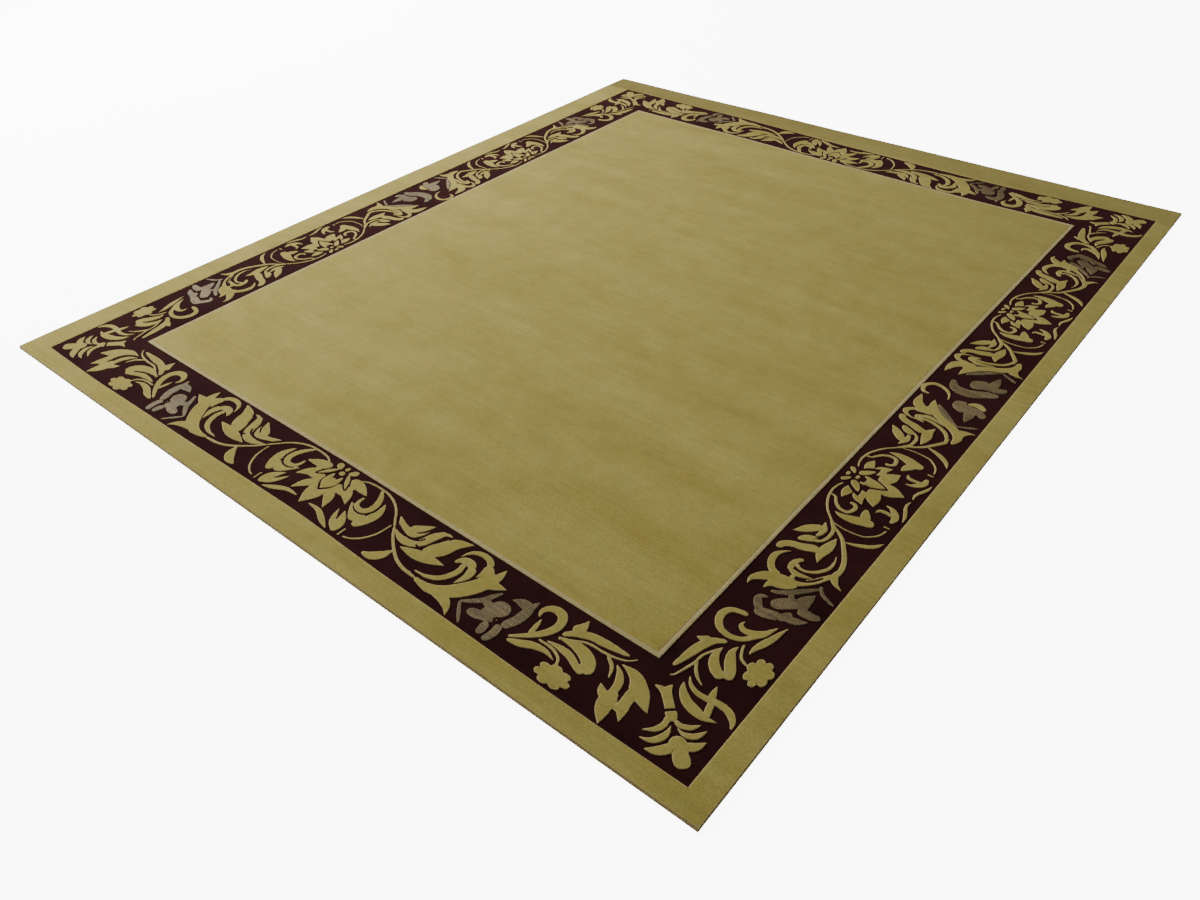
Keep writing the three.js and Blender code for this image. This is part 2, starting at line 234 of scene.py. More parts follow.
SPLIT_LEAF = (
    Stroke("near lobe", 24, 0.70, 0.05, 0.60, ((227, 154), (262, 133), (302, 127))),
    Stroke("near point", 42, 0.15, 0.80, 0, ((284, 128), (302, 148), (324, 184))),
    Stroke("mid lobe", 22, 0.60, 0.05, 0.90, ((252, 116), (283, 104), (316, 107), (338, 124))),
    Stroke("mid point", 27, 0.50, 0.80, 0.45, ((322, 110), (336, 130), (344, 156), (357, 183))),
    Stroke("mid barb", 10, 0.30, 0.80, 0, ((352, 172), (364, 181), (381, 182))),
    Stroke("far lens", 31, 0.50, 0, 0, ((302, 83), (362, 92), (428, 106))),
    Stroke("far point", 44, 0.35, 0.70, 0, ((356, 104), (384, 136), (397, 166), (437, 199))),
    Stroke("notch line", 5.5, 0.50, 0.60, 0.80,
           ((301, 138), (312, 148), (322, 168), (327, 190)), Area.GROUND),
    Stroke("hook line", 6.5, 0.50, 0.60, 0.70,
           ((246, 132), (270, 122), (300, 117), (322, 124), (334, 139)), Area.GROUND),
    Stroke("far line", 6.0, 0.50, 0.80, 0.80,
           ((327, 111), (346, 110), (352, 128), (358, 150), (365, 168), (384, 175)), Area.GROUND),
)
ACANTHUS = (
    Stroke("hook base", 36, 0.35, 0.80, 0.45, ((528, 112), (526, 144), (511, 172))),
    Stroke("hook arm", 16, 0.35, 1.0, 0.05, ((517, 170), (498, 185), (470, 187), (449, 176), (435, 148))),
    Stroke("body", 42, 0.60, 0.20, 0.75,
           ((400, 38), (455, 40), (492, 59), (520, 91), (536, 124), (540, 152))),
    Stroke("foot", 27, 0.40, 0.50, 0, ((450, 38), (500, 36), (521, 24), (536, 4))),
    Stroke("inner line", 7, 0.50, 0.60, 0.50,
           ((382, 45), (421, 47), (441, 51), (460, 60), (483, 81), (498, 100), (511, 119),
            (518, 134)), Area.GROUND),
    Stroke("inner curl", 17, 0.70, 0.10, 0.90,
           ((382, 54), (421, 59), (446, 73), (461, 96), (466, 120), (460, 140))),
    Stroke("inner point", 23, 0.20, 0.90, 0, ((486, 144), (493, 122), (483, 80))),
    Stroke("prong line", 6, 0.50, 0.60, 0.60, ((471, 136), (477, 118), (480, 98), (477, 82)), Area.GROUND),
    Stroke("inner head", 21, 0.50, 0.30, 0.90, ((437, 130), (450, 146), (471, 150), (489, 139))),
)
SPIKED_CREST = (
    Stroke("back point", 25, 0.10, 0.95, 0, ((545, 136), (548, 158), (549, 188))),
    Stroke("side point", 33, 0.10, 0.90, 0, ((530, 126), (552, 133), (586, 143))),
)
SHORT_WINGS = (
    Stroke("back wing", 25, 0.40, 0.80, 0, ((524, 150), (540, 176), (578, 187))),
    Stroke("side wing", 24, 0.20, 0.90, 0, ((532, 127), (549, 140), (574, 149))),
)

# The long sides have their own lotus, ring, leaves and acanthus
SIDE_LOTUS = (
    Stroke("foot petal", 54, 0.40, 0.70, 0, ((0, 111), (0, 82), (0, 41))),
    Stroke("side petal", 36, 0.45, 0.60, 0, ((17, 107), (51, 98), (87, 83))),
    Stroke("side shoulder", 30, 0.35, 0.80, 0, ((43, 127), (74, 125), (98, 106))),
    Stroke("top petal", 24, 0.40, 0.90, 0, ((43, 151), (71, 156), (103, 156))),
    Stroke("slip line", 31, 0.45, 0.50, 0, ((15, 171), (39, 149), (74, 128)), Area.GROUND),
    Stroke("heart line", 54, 0.75, 0, 0.80, ((0, 78), (0, 114), (0, 151)), Area.GROUND),
    Stroke("heart", 36, 0.75, 0, 0.70, ((0, 88), (0, 114), (0, 140))),
    Stroke("heart prong", 11, 0.40, 0.60, 0.30, ((11, 127), (15, 137), (16, 148))),
    Stroke("heart notch", 8, 0.40, 0, 0.90, ((0, 135), (0, 141), (0, 149)), Area.GROUND),
    Stroke("slip", 19, 0.35, 0.60, 0.20, ((18, 163), (35, 149), (55, 134))),
    Stroke("bead", 10, 0.50, 0.80, 0.80, ((-9, 159), (0, 159), (9, 159))),
    Stroke("crown bead", 10, 0.50, 0.80, 0.80, ((-9, 184), (0, 184), (9, 184))),
    Stroke("crown petal", 13, 0.60, 0.20, 0.75, ((11, 171), (24, 180), (35, 188))),
)
SIDE_RING = (
    Stroke("pod back", 33, 0.60, 0, 0.80, ((166, 145), (172, 125), (169, 100), (160, 78), (153, 51))),
    Stroke("pod front", 24, 0.40, 0.90, 0.25, ((163, 73), (143, 78), (124, 85), (108, 89))),
    Stroke("curl", 10.5, 0.70, 0.50, 0.90,
           ((108, 181), (110, 169), (127, 159), (142, 148), (150, 135), (149, 120), (134, 113),
            (117, 113), (108, 122), (110, 132))),
    Stroke("ring top", 6.6, 0.50, 0.70, 0.95,
           ((45, 176), (60, 181), (80, 184), (106, 183), (126, 179), (149, 171), (174, 159), (195, 146),
            (218, 133))),
    Stroke("bud foot", 18, 0.55, 0.10, 0.40, ((59, 62), (64, 45), (76, 34), (95, 26), (118, 27))),
    Stroke("bud head", 12, 0.55, 0.10, 0.80, ((104, 70), (90, 64), (87, 49), (91, 35))),
    Stroke("edge leaf", 9.5, 0.55, 0.30, 0.25,
           ((6, 22), (23, 25), (40, 22), (59, 15), (77, 10), (96, 8))),
    Stroke("dash", 5.5, 0.50, 0.90, 0.90, ((140, 35), (140, 27), (140, 19))),
    Stroke("ring foot", 6, 0.50, 0.60, 0.70,
           ((222, 126), (230, 103), (229, 73), (223, 55), (205, 41), (179, 28), (151, 23))),
    Stroke("vine", 12.5, 0.95, 0.62, 1.00,
           ((217, 133), (243, 119), (261, 103), (288, 85), (317, 72), (344, 60), (374, 49), (407, 43),
            (438, 43))),
    Stroke("drop", 17, 0.38, 0.25, 0, ((294, 77), (284, 57), (271, 40), (248, 22), (206, 7))),
)
SIDE_SPLIT_LEAF = (
    Stroke("near leaf", 28, 0.55, 0, 0.60, ((346, 188), (334, 177), (317, 166), (296, 154), (268, 138))),
    Stroke("near tip", 14, 0.50, 0, 0.60, ((237, 142), (257, 138), (280, 132), (303, 132), (324, 136))),
    Stroke("mid head", 26, 0.60, 0.30, 0.35, ((370, 163), (355, 153), (342, 140), (330, 129))),
    Stroke("mid line", 5, 0.50, 0.60, 0.80,
           ((340, 135), (328, 126), (306, 122), (280, 122), (259, 125)), Area.GROUND),
    Stroke("mid stem", 9, 0.30, 0.70, 0.90,
           ((350, 132), (335, 120), (315, 114), (288, 113), (261, 116), (238, 125), (213, 135))),
    Stroke("far lens", 26, 0.50, 0, 0, ((425, 94), (387, 101), (357, 99), (327, 97), (293, 97))),
    Stroke("far point", 30, 0.80, 0.45, 1.00,
           ((440, 185), (416, 181), (400, 165), (393, 145), (382, 128), (370, 108))),
)
SIDE_ACANTHUS = (
    Stroke("hook arm", 17, 0.40, 0.90, 0,
           ((535, 138), (530, 157), (515, 170), (495, 176), (474, 177), (452, 171), (436, 161),
            (425, 151))),
    Stroke("back wing", 24, 0.70, 0, 0.80, ((593, 179), (574, 181), (557, 168), (545, 148), (541, 130))),
    Stroke("side wing", 21, 0.70, 0, 0.80, ((583, 147), (567, 143), (553, 132), (544, 116))),
    Stroke("body", 38, 0.30, 0.85, 0.55, ((550, 147), (547, 128), (542, 110), (533, 93))),
    Stroke("inner bridge", 10, 0.50, 0.90, 0.90, ((536, 112), (524, 114), (510, 114))),
    Stroke("body tail", 18, 0.25, 0.90, 0.60,
           ((540, 112), (531, 97), (519, 83), (502, 71), (479, 61), (452, 51), (438, 45))),
    Stroke("foot", 17, 0.45, 0.50, 0, ((417, 46), (449, 43), (470, 34), (488, 12))),
    Stroke("inner curl", 10.5, 0.65, 0.10, 0.90,
           ((362, 72), (384, 66), (414, 64), (445, 72), (470, 87), (481, 103), (479, 118), (465, 126))),
    Stroke("inner head", 15, 0.50, 0.60, 0.75,
           ((501, 116), (499, 129), (479, 133), (456, 130), (438, 121))),
    Stroke("inner point", 17, 0.35, 0.80, 0, ((499, 130), (506, 113), (502, 95), (494, 78))),
    Stroke("prong line", 5, 0.50, 0.60, 0.80, ((489, 119), (490, 106), (488, 92), (483, 77)), Area.GROUND),
    Stroke("body line", 7, 0.40, 0.50, 0.50,
           ((527, 107), (522, 95), (511, 80), (495, 70), (470, 60)), Area.GROUND),
)

SILK_OUTER = (
    Stroke("fork head", 15, 0.55, 0.45, 0.40,
           ((531, 55), (551, 72), (568, 92), (576, 112), (586, 132)), Area.SILK),
    Stroke("fork foot", 9, 0.50, 0.60, 0.50, ((531, 56), (550, 32), (569, 9)), Area.SILK),
    Stroke("silk joint", 19, 0.50, 0.90, 0.90, ((569, 92), (581, 89), (594, 88)), Area.SILK),
    Stroke("silk wing", 26, 0.50, 0.80, 0.60, ((602, 59), (584, 53), (559, 48)), Area.SILK),
    Stroke("silk head", 47, 0.60, 0.80, 0.76, ((599, 47), (602, 67), (610, 91), (616, 117)), Area.SILK),
    Stroke("silk foot", 20, 0.40, 0.90, 0.80, ((612, 50), (616, 33), (617, 15)), Area.SILK),
    Stroke("silk band foot", 21, 0.25, 0.90, 0.85, ((638, 63), (642, 36), (636, 9)), Area.SILK),
    Stroke("silk band", 26, 0.55, 0.80, 0.12,
           ((645, 61), (650, 77), (657, 95), (659, 115), (658, 139), (663, 164)), Area.SILK),
    Stroke("silk lip", 26, 0.30, 0.90, 0, ((661, 132), (644, 139), (627, 137), (611, 131)), Area.SILK),
    Stroke("silk line", 5.5, 0.50, 0.80, 0.60,
           ((638, 95), (629, 77), (619, 68), (626, 57), (630, 42), (629, 25), (627, 9)), Area.GROUND),
)
SILK_SIDE = (
    Stroke("fork head", 14, 0.55, 0.30, 0.55,
           ((512, 48), (519, 53), (536, 68), (550, 83), (563, 98), (573, 113), (580, 130)), Area.SILK),
    Stroke("fork foot", 9, 0.40, 0.70, 0.40,
           ((505, 52), (518, 47), (529, 36), (536, 21), (541, 5)), Area.SILK),
    Stroke("silk wing", 33, 0.25, 0.90, 0, ((588, 58), (568, 58), (551, 53), (537, 49)), Area.SILK),
    Stroke("silk head", 32, 0.45, 0.80, 0.70, ((615, 108), (599, 94), (585, 77), (576, 58)), Area.SILK),
    Stroke("silk joint", 12, 0.50, 0.90, 0.90, ((579, 81), (568, 87), (560, 91)), Area.SILK),
    Stroke("silk foot", 23, 0.30, 0.90, 0.55, ((590, 58), (591, 41), (590, 25), (584, 9)), Area.SILK),
    Stroke("silk band", 29, 0.40, 0.80, 0.85, ((643, 129), (644, 113), (638, 93), (631, 75)), Area.SILK),
    Stroke("silk knee", 22, 0.40, 0.80, 0.45, ((640, 77), (625, 69), (608, 62)), Area.SILK),
    Stroke("silk tail", 20, 0.35, 0.95, 0.15, ((627, 68), (624, 51), (617, 36), (609, 25)), Area.SILK),
    Stroke("silk lip", 19, 0.40, 0.85, 0.10,
           ((644, 118), (627, 131), (612, 139), (603, 136), (599, 122)), Area.SILK),
)
SILK_INNER = (
    Stroke("fork head", 16, 0.50, 0.30, 0.40, ((503, 57), (534, 96), (562, 134)), Area.SILK),
    Stroke("fork foot", 9.5, 0.50, 0.60, 0.40, ((503, 58), (518, 34), (531, 11)), Area.SILK),
    Stroke("silk wing", 28, 0.40, 0.70, 0.10, ((594, 58), (568, 53), (536, 50)), Area.SILK),
    Stroke("silk head", 42, 0.60, 0.85, 0.62, ((576, 58), (588, 84), (600, 104)), Area.SILK),
    Stroke("silk foot", 24, 0.30, 0.85, 0.60, ((588, 70), (587, 42), (572, 15)), Area.SILK),
)
SILK_ARC = (
    Stroke("silk band", 36, 0.50, 0.55, 0.30,
           ((606, 23), (616, 50), (632, 75), (641, 102), (634, 130), (600, 149)), Area.SILK),
    Stroke("silk line", 6.5, 0.50, 0.80, 0.60,
           ((586, 134), (612, 124), (620, 104), (611, 82), (600, 62), (598, 40), (594, 8)), Area.GROUND),
)
OPEN_END = (
    Stroke("crosier", 13, 0.30, 0.30, 0.25,
           ((588, 170), (591, 189), (616, 198), (640, 180), (636, 150), (617, 130), (590, 122))),
    Stroke("wisp", 19, 0.50, 0.10, 0.50, ((603, 75), (613, 50), (600, 26))),
)
SPRAY = (
    Stroke("crook", 22, 0.66, 0.25, 0.25,
           ((669, 51), (697, 74), (718, 96), (732, 118), (737, 145), (725, 167), (704, 171),
            (687, 161), (682, 147),
            (688, 132))),
    Stroke("crook leaf", 12, 0.40, 0.70, 0, ((702, 84), (700, 106), (696, 134))),
    Stroke("low blade", 20, 0.35, 0.30, 0, ((674, 44), (702, 53), (730, 67), (760, 72), (790, 64))),
    Stroke("twig", 6.6, 0.50, 0.80, 0.95, ((727, 87), (774, 84), (793, 73), (800, 56))),
    Stroke("high leaf", 22, 0.45, 0.50, 0.30, ((757, 128), (782, 150), (812, 162), (850, 167), (897, 171))),
    Stroke("high point", 32, 0, 1.0, 0, ((772, 148), (779, 168), (779, 193))),
    Stroke("tendril line", 18, 0.50, 0.60, 0.40,
           ((752, 110), (788, 131), (811, 143), (853, 147), (877, 151), (898, 168)), Area.GROUND),
    Stroke("upper finger", 30, 0.70, 0.05, 0.80, ((754, 118), (786, 122), (822, 119), (846, 103), (857, 78))),
    Stroke("lower finger", 19, 0.60, 0.10, 0.95, ((742, 95), (774, 98), (806, 95), (836, 82), (852, 76))),
    Stroke("finger line", 6, 0.40, 0.60, 0.40, ((752, 111), (798, 109), (818, 101), (835, 90)), Area.GROUND),
    Stroke("tendril", 6.6, 0.50, 0.60, 0.40,
           ((756, 113), (788, 131), (811, 143), (853, 146), (877, 150), (903, 162), (915, 177))),
    Stroke("offshoot", 8.5, 0.40, 0.65, 0.35, ((863, 144), (884, 128), (896, 101))),
    ROUND_FLOWER,
)

SIDE_SPRAY = (
    Stroke("crook", 18, 0.66, 0.15, 0.75,
           ((660, 64), (696, 71), (728, 90), (752, 108), (760, 130), (754, 152), (729, 170),
            (703, 173), (684, 165), (675, 147), (673, 127))),
    Stroke("crook leaf", 20, 0.50, 0, 0,
           ((692, 125), (713, 125), (722, 113), (718, 98), (703, 80), (667, 67))),
    Stroke("blade line", 5, 0.50, 0.60, 0.60,
           ((752, 88), (739, 81), (720, 73), (697, 66), (673, 62), (648, 56)), Area.GROUND),
    Stroke("low blade", 17, 0.60, 0, 0.10,
           ((646, 46), (670, 52), (703, 58), (733, 66), (758, 72), (780, 74))),
    Stroke("twig", 6.6, 0.50, 0.80, 0.95, ((760, 94), (783, 88), (801, 79), (811, 62))),
    Stroke("high leaf", 22, 0.45, 0.50, 0.30,
           ((778, 124), (796, 146), (822, 158), (858, 166), (890, 171), (909, 174))),
    Stroke("high point", 26, 0, 1.0, 0, ((800, 150), (806, 165), (809, 181))),
    Stroke("tendril line", 18, 0.50, 0.60, 0.40,
           ((796, 118), (825, 135), (845, 143), (871, 146), (897, 152), (920, 158)), Area.GROUND),
    Stroke("upper finger", 24, 0.70, 0.05, 0.80, ((798, 123), (826, 124), (848, 115), (864, 98), (872, 82))),
    Stroke("lower finger", 24, 0.60, 0.10, 0.95, ((775, 100), (797, 102), (822, 93), (845, 80), (868, 74))),
    Stroke("finger line", 6, 0.40, 0.60, 0.40, ((800, 118), (826, 112), (845, 99), (852, 91)), Area.GROUND),
    Stroke("tendril", 6.6, 0.50, 0.60, 0.40,
           ((800, 122), (825, 135), (845, 143), (871, 145), (897, 151), (924, 157), (955, 166))),
    Stroke("offshoot", 8, 0.40, 0.65, 0.35, ((866, 142), (886, 133), (903, 119), (916, 102))),
    ROUND_FLOWER,
)

# Drawn from the band's outer corner: the distances in from the run's own end and from its outer edge
CORNER_LEAF = (
    Stroke("left blade", 18, 0.60, 0.08, 0.90, ((257, 139), (239, 124), (227, 104), (222, 72))),
    Stroke("left foot", 35, 0.38, 0.70, 0, ((219, 84), (219, 54), (201, 2))),
    Stroke("left barb", 20, 0.20, 0.80, 0, ((228, 60), (240, 68), (254, 83))),
    Stroke("right blade", 37, 0.55, 0.06, 0, ((251, 145), (213, 137), (187, 116), (143, 81))),
    Stroke("right point", 25, 0.55, 0.95, 0, ((191, 116), (190, 76), (174, 31))),
    Stroke("blade bridge", 16, 0.50, 0.80, 0.80, ((222, 58), (206, 58), (188, 52))),
    Stroke("blade line", 9, 0.60, 0.45, 0.55,
           ((262, 146), (234, 134), (216, 118), (209, 98), (206, 84), (204, 70)), Area.GROUND),
    Stroke("arm", 22, 0.40, 0.90, 0, ((66, 56), (72, 42), (82, 28), (106, 14))),
    Stroke("scale", 15, 0.50, 0, 0, ((97, 90), (92, 70), (95, 52), (106, 37), (128, 30))),
    Stroke("chevron", 13, 0.45, 0.80, 0, ((112, 101), (107, 85), (111, 66), (133, 45))),
)
SIDE_CORNER_LEAF = (
    Stroke("crescent", 29, 0.45, 0, 0, ((156, 33), (149, 60), (154, 85), (161, 104), (180, 121), (213, 136))),
    Stroke("curl", 22, 0.62, 0.05, 0.15,
           ((239, 135), (213, 119), (202, 100), (202, 78), (208, 55), (204, 32), (186, 15), (160, 6))),
    Stroke("curl bridge", 15, 0.50, 0.90, 0.90, ((154, 57), (180, 63), (198, 66))),
    Stroke("curl barb", 15, 0.20, 0.85, 0, ((207, 71), (231, 76), (253, 79))),
    Stroke("side arm", 20, 0.40, 0.90, 0, ((66, 60), (70, 46), (80, 36), (103, 25))),
    Stroke("side scale", 14, 0.50, 0, 0, ((92, 86), (88, 68), (96, 52), (110, 43), (128, 37))),
    Stroke("side chevron", 13, 0.45, 0.80, 0, ((104, 96), (100, 87), (107, 70), (131, 52))),
)
# Painted with its mirror image about the corner's diagonal
PALMETTE = (
    Stroke("palm body", 36, 0.55, 0.75, 0.85, ((76, 76), (62, 62), (46, 46))),
    Stroke("palm shoulder", 15, 0.60, 0.60, 0.90, ((66, 44), (69, 58), (70, 70))),
    Stroke("palm toe", 27, 0.50, 0.85, 0.70, ((58, 56), (44, 40), (29, 23))),
    Stroke("crown", 24, 0.60, 0.60, 0.95, ((98, 98), (110, 110), (124, 124))),
    Stroke("star foot", 21, 0.50, 0.95, 0.90, ((110, 110), (126, 126), (143, 144))),
    Stroke("star point", 22, 0.15, 0.90, 0, ((135, 132), (146, 150), (147, 175))),
    Stroke("crown line", 7, 0.50, 0.90, 0.90, ((130, 104), (117, 117), (104, 130)), Area.GROUND),
)


@dataclass(frozen=True)
class RunDesign:
    """The strokes of an outer run: lotus, scroll from the ring to the spray, and corner leaf."""
    lotus: tuple
    scroll: tuple
    corner_leaf: tuple


SHORT_RUN = RunDesign(LOTUS, RING + SPLIT_LEAF + ACANTHUS + SPIKED_CREST + SILK_OUTER + SPRAY, CORNER_LEAF)
LONG_RUN = RunDesign(SIDE_LOTUS, SIDE_RING + SIDE_SPLIT_LEAF + SIDE_ACANTHUS + SILK_SIDE + SIDE_SPRAY,
                     SIDE_CORNER_LEAF)

# How the charts are drawn: half a lotus, a run's length and width, and half the length between two lotuses
LOTUS_SPAN = 60.0
DRAWN_CORNER = 1145.0
DRAWN_WIDTH = 205.0
INNER_END = 646.0
SIDE_STEP = 14.0


class Chart:
    """Paints strokes on a fine grid and reads back the outlines of what is painted."""

    cell = 1.0
    softening = 1.15
    tails = 3
    gap = 2.5
    shortest_loop = 12
    seam_width = 1e-6
    tolerance = 0.22
    longest = 6.0

    def __init__(self, low: tuple, high: tuple, seams: tuple = (0.0,)) -> None:
        """Clears the grid.

        Args:
            low: Its lowest corner in mm.
            high: Its highest corner in mm.
            seams: The grid lines where this length meets the next, so that both keep their points there.
        """
        self.low = np.array(low, float)
        self.seams = seams
        self.across = np.arange(low[0], high[0], self.cell)
        self.up = np.arange(low[1], high[1], self.cell)
        self.paint = np.zeros((len(self.across), len(self.up)), np.int8)

    def lay(self, outline: np.ndarray, paint: Area) -> None:
        """Fills a closed outline.

        Args:
            outline: Its points, N by 2, in mm.
            paint: What it is filled with.
        """
        ends = [(grid, outline[:, axis]) for axis, grid in enumerate((self.across, self.up))]
        first = [np.searchsorted(grid, values.min()) for grid, values in ends]
        last = [np.searchsorted(grid, values.max()) for grid, values in ends]
        x = self.across[first[0]:last[0], None, None]
        y = self.up[None, first[1]:last[1], None]
        if x.size == 0 or y.size == 0:
            return
        ax, ay = outline[:, 0], outline[:, 1]
        bx, by = np.roll(ax, -1), np.roll(ay, -1)
        rise = np.where(by == ay, TINY, by - ay)
        crossing = ((ay > y) != (by > y)) & (x < ax + (y - ay) * (bx - ax) / rise)
        inside = crossing.sum(axis=2) % 2 == 1
        view = self.paint[first[0]:last[0], first[1]:last[1]]
        view[inside] = paint.value

    def mask(self, area: Area) -> np.ndarray:
        """Softens one kind of paint, so that its corners are as round as pile can be cut.

        Args:
            area: The kind of paint.

        Returns:
            Its cover at each grid point, from 0 to 1.
        """
        laid = self.paint == area.value
        if area is Area.SILK:
            laid &= ~self._widened(self.paint == Area.LEAF.value, int(self.gap / self.cell + 0.5))
        reach = int(self.tails * self.softening / self.cell + 1)
        weights = np.exp(-0.5 * (np.arange(-reach, reach + 1) * self.cell / self.softening) ** 2)
        weights /= weights.sum()
        cover = laid.astype(float)
        for axis in (0, 1):
            cover = np.apply_along_axis(lambda row: np.convolve(row, weights, "same"), axis, cover)
        cover[[0, -1], :] = 0
        cover[:, [0, -1]] = 0
        return cover

    @staticmethod
    def _widened(laid: np.ndarray, cells: int) -> np.ndarray:
        """Grows a mask by a number of cells each way.

        Args:
            laid: The mask.
            cells: How far it grows.

        Returns:
            The grown mask.
        """
        wide = laid.copy()
        for _ in range(cells):
            grown = wide.copy()
            grown[1:] |= wide[:-1]
            grown[:-1] |= wide[1:]
            grown[:, 1:] |= wide[:, :-1]
            grown[:, :-1] |= wide[:, 1:]
            wide = grown
        return wide

    def outlines(self, area: Area) -> list:
        """Follows the edges of one kind of paint.

        Args:
            area: The kind of paint.

        Returns:
            Closed loops of points in mm, each with the paint on its left.
        """
        level = self.mask(area) - 0.5
        following = self._crossings(level)
        loops = []
        while following:
            start, (point, key) = next(iter(following.items()))
            loop = []
            while key in following or key == start:
                loop.append(point)
                if key == start:
                    break
                point, key = following.pop(key)
            following.pop(start, None)
            if len(loop) > self.shortest_loop:
                loops.append(self._thinned(np.array(loop) * self.cell + self.low))
        return loops

    @staticmethod
    def _crossings(level: np.ndarray) -> dict:
        """Finds where the level's zero line crosses each cell.

        Args:
            level: A number at each grid point, over 0 inside.

        Returns:
            From each crossed grid edge to the point on it and the next crossed edge, the inside on the left.
        """
        inside = level > 0
        case = (inside[:-1, :-1] * 1 + inside[1:, :-1] * 2 + inside[1:, 1:] * 4 + inside[:-1, 1:] * 8)
        routes = {1: ((0, 3),), 2: ((1, 0),), 3: ((1, 3),), 4: ((2, 1),), 5: ((0, 1), (2, 3)),
                  6: ((2, 0),), 7: ((2, 3),), 8: ((3, 2),), 9: ((0, 2),), 10: ((3, 0), (1, 2)),
                  11: ((1, 2),), 12: ((3, 1),), 13: ((0, 1),), 14: ((3, 0),)}
        following = {}
        for i, j in np.argwhere((case > 0) & (case < 15)):
            ends = {}
            corners = ((i, j), (i + 1, j), (i + 1, j + 1), (i, j + 1))
            for edge, (start, end) in enumerate(zip(corners, corners[1:] + corners[:1])):
                a, b = level[start], level[end]
                if (a > 0) != (b > 0):
                    share = a / (a - b)
                    place = (start[0] + share * (end[0] - start[0]), start[1] + share * (end[1] - start[1]))
                    ends[edge] = (place, (min(start, end), max(start, end)))
            for enter, leave in routes[int(case[i, j])]:
                following[ends[enter][1]] = (ends[enter][0], ends[leave][1])
        return following

    def _thinned(self, loop: np.ndarray) -> np.ndarray:
        """Drops the points of a loop that its shape doesn't need.

        Args:
            loop: Its points, N by 2.

        Returns:
            The points that are kept.
        """
        count = len(loop)
        closed = np.vstack([loop, loop[:1]])
        far = int(np.linalg.norm(loop - loop[0], axis=1).argmax())
        fixed = {0, far, count}
        for seam in self.seams:
            fixed |= set(np.flatnonzero(np.abs(loop[:, 0] - seam) < self.seam_width).tolist())
        keep = set(fixed)
        stack = list(zip(sorted(fixed), sorted(fixed)[1:]))
        while stack:
            a, b = stack.pop()
            if b - a < 2:
                continue
            chord = closed[b] - closed[a]
            length = max(np.linalg.norm(chord), TINY)
            offset = closed[a + 1:b] - closed[a]
            away = np.abs(chord[0] * offset[:, 1] - chord[1] * offset[:, 0]) / length
            worst = int(away.argmax())
            middle = a + 1 + worst if away[worst] > self.tolerance else (a + b) // 2
            if away[worst] > self.tolerance or length > self.longest:
                keep.add(middle)
                stack += [(a, middle), (middle, b)]
        return closed[sorted(keep - {count})]


# Tiling the plan

@dataclass
class Tiles:
    """Triangles over a plan, each with its area, and each point's distance from the edge of its pile."""
    points: np.ndarray
    faces: np.ndarray
    areas: np.ndarray
    distance: np.ndarray

    def chosen(self, area: Area) -> np.ndarray:
        """Returns the triangles of one area."""
        return self.faces[self.areas == area.value]


@dataclass(frozen=True)
class Edge:
    """A line of the plan, with what lies on its left and on its right, or None where that varies."""
    points: np.ndarray
    left: Area | None
    right: Area | None
    closed: bool = True
    carved: bool = True


@dataclass(frozen=True)
class Domain:
    """The part of a plan that is tiled: where x * a + y * b + c is over 0 for every line (a, b, c)."""
    lines: tuple = ()

    def holds(self, points: np.ndarray, margin: float = 0.0) -> np.ndarray:
        """Tells which points are in the domain.

        Args:
            points: The points, N by 2.
            margin: How far inside they have to be, in mm.

        Returns:
            True for each point that is.
        """
        held = np.ones(len(points), bool)
        for a, b, c in self.lines:
            held &= (points[:, 0] * a + points[:, 1] * b + c) / math.hypot(a, b) >= margin
        return held


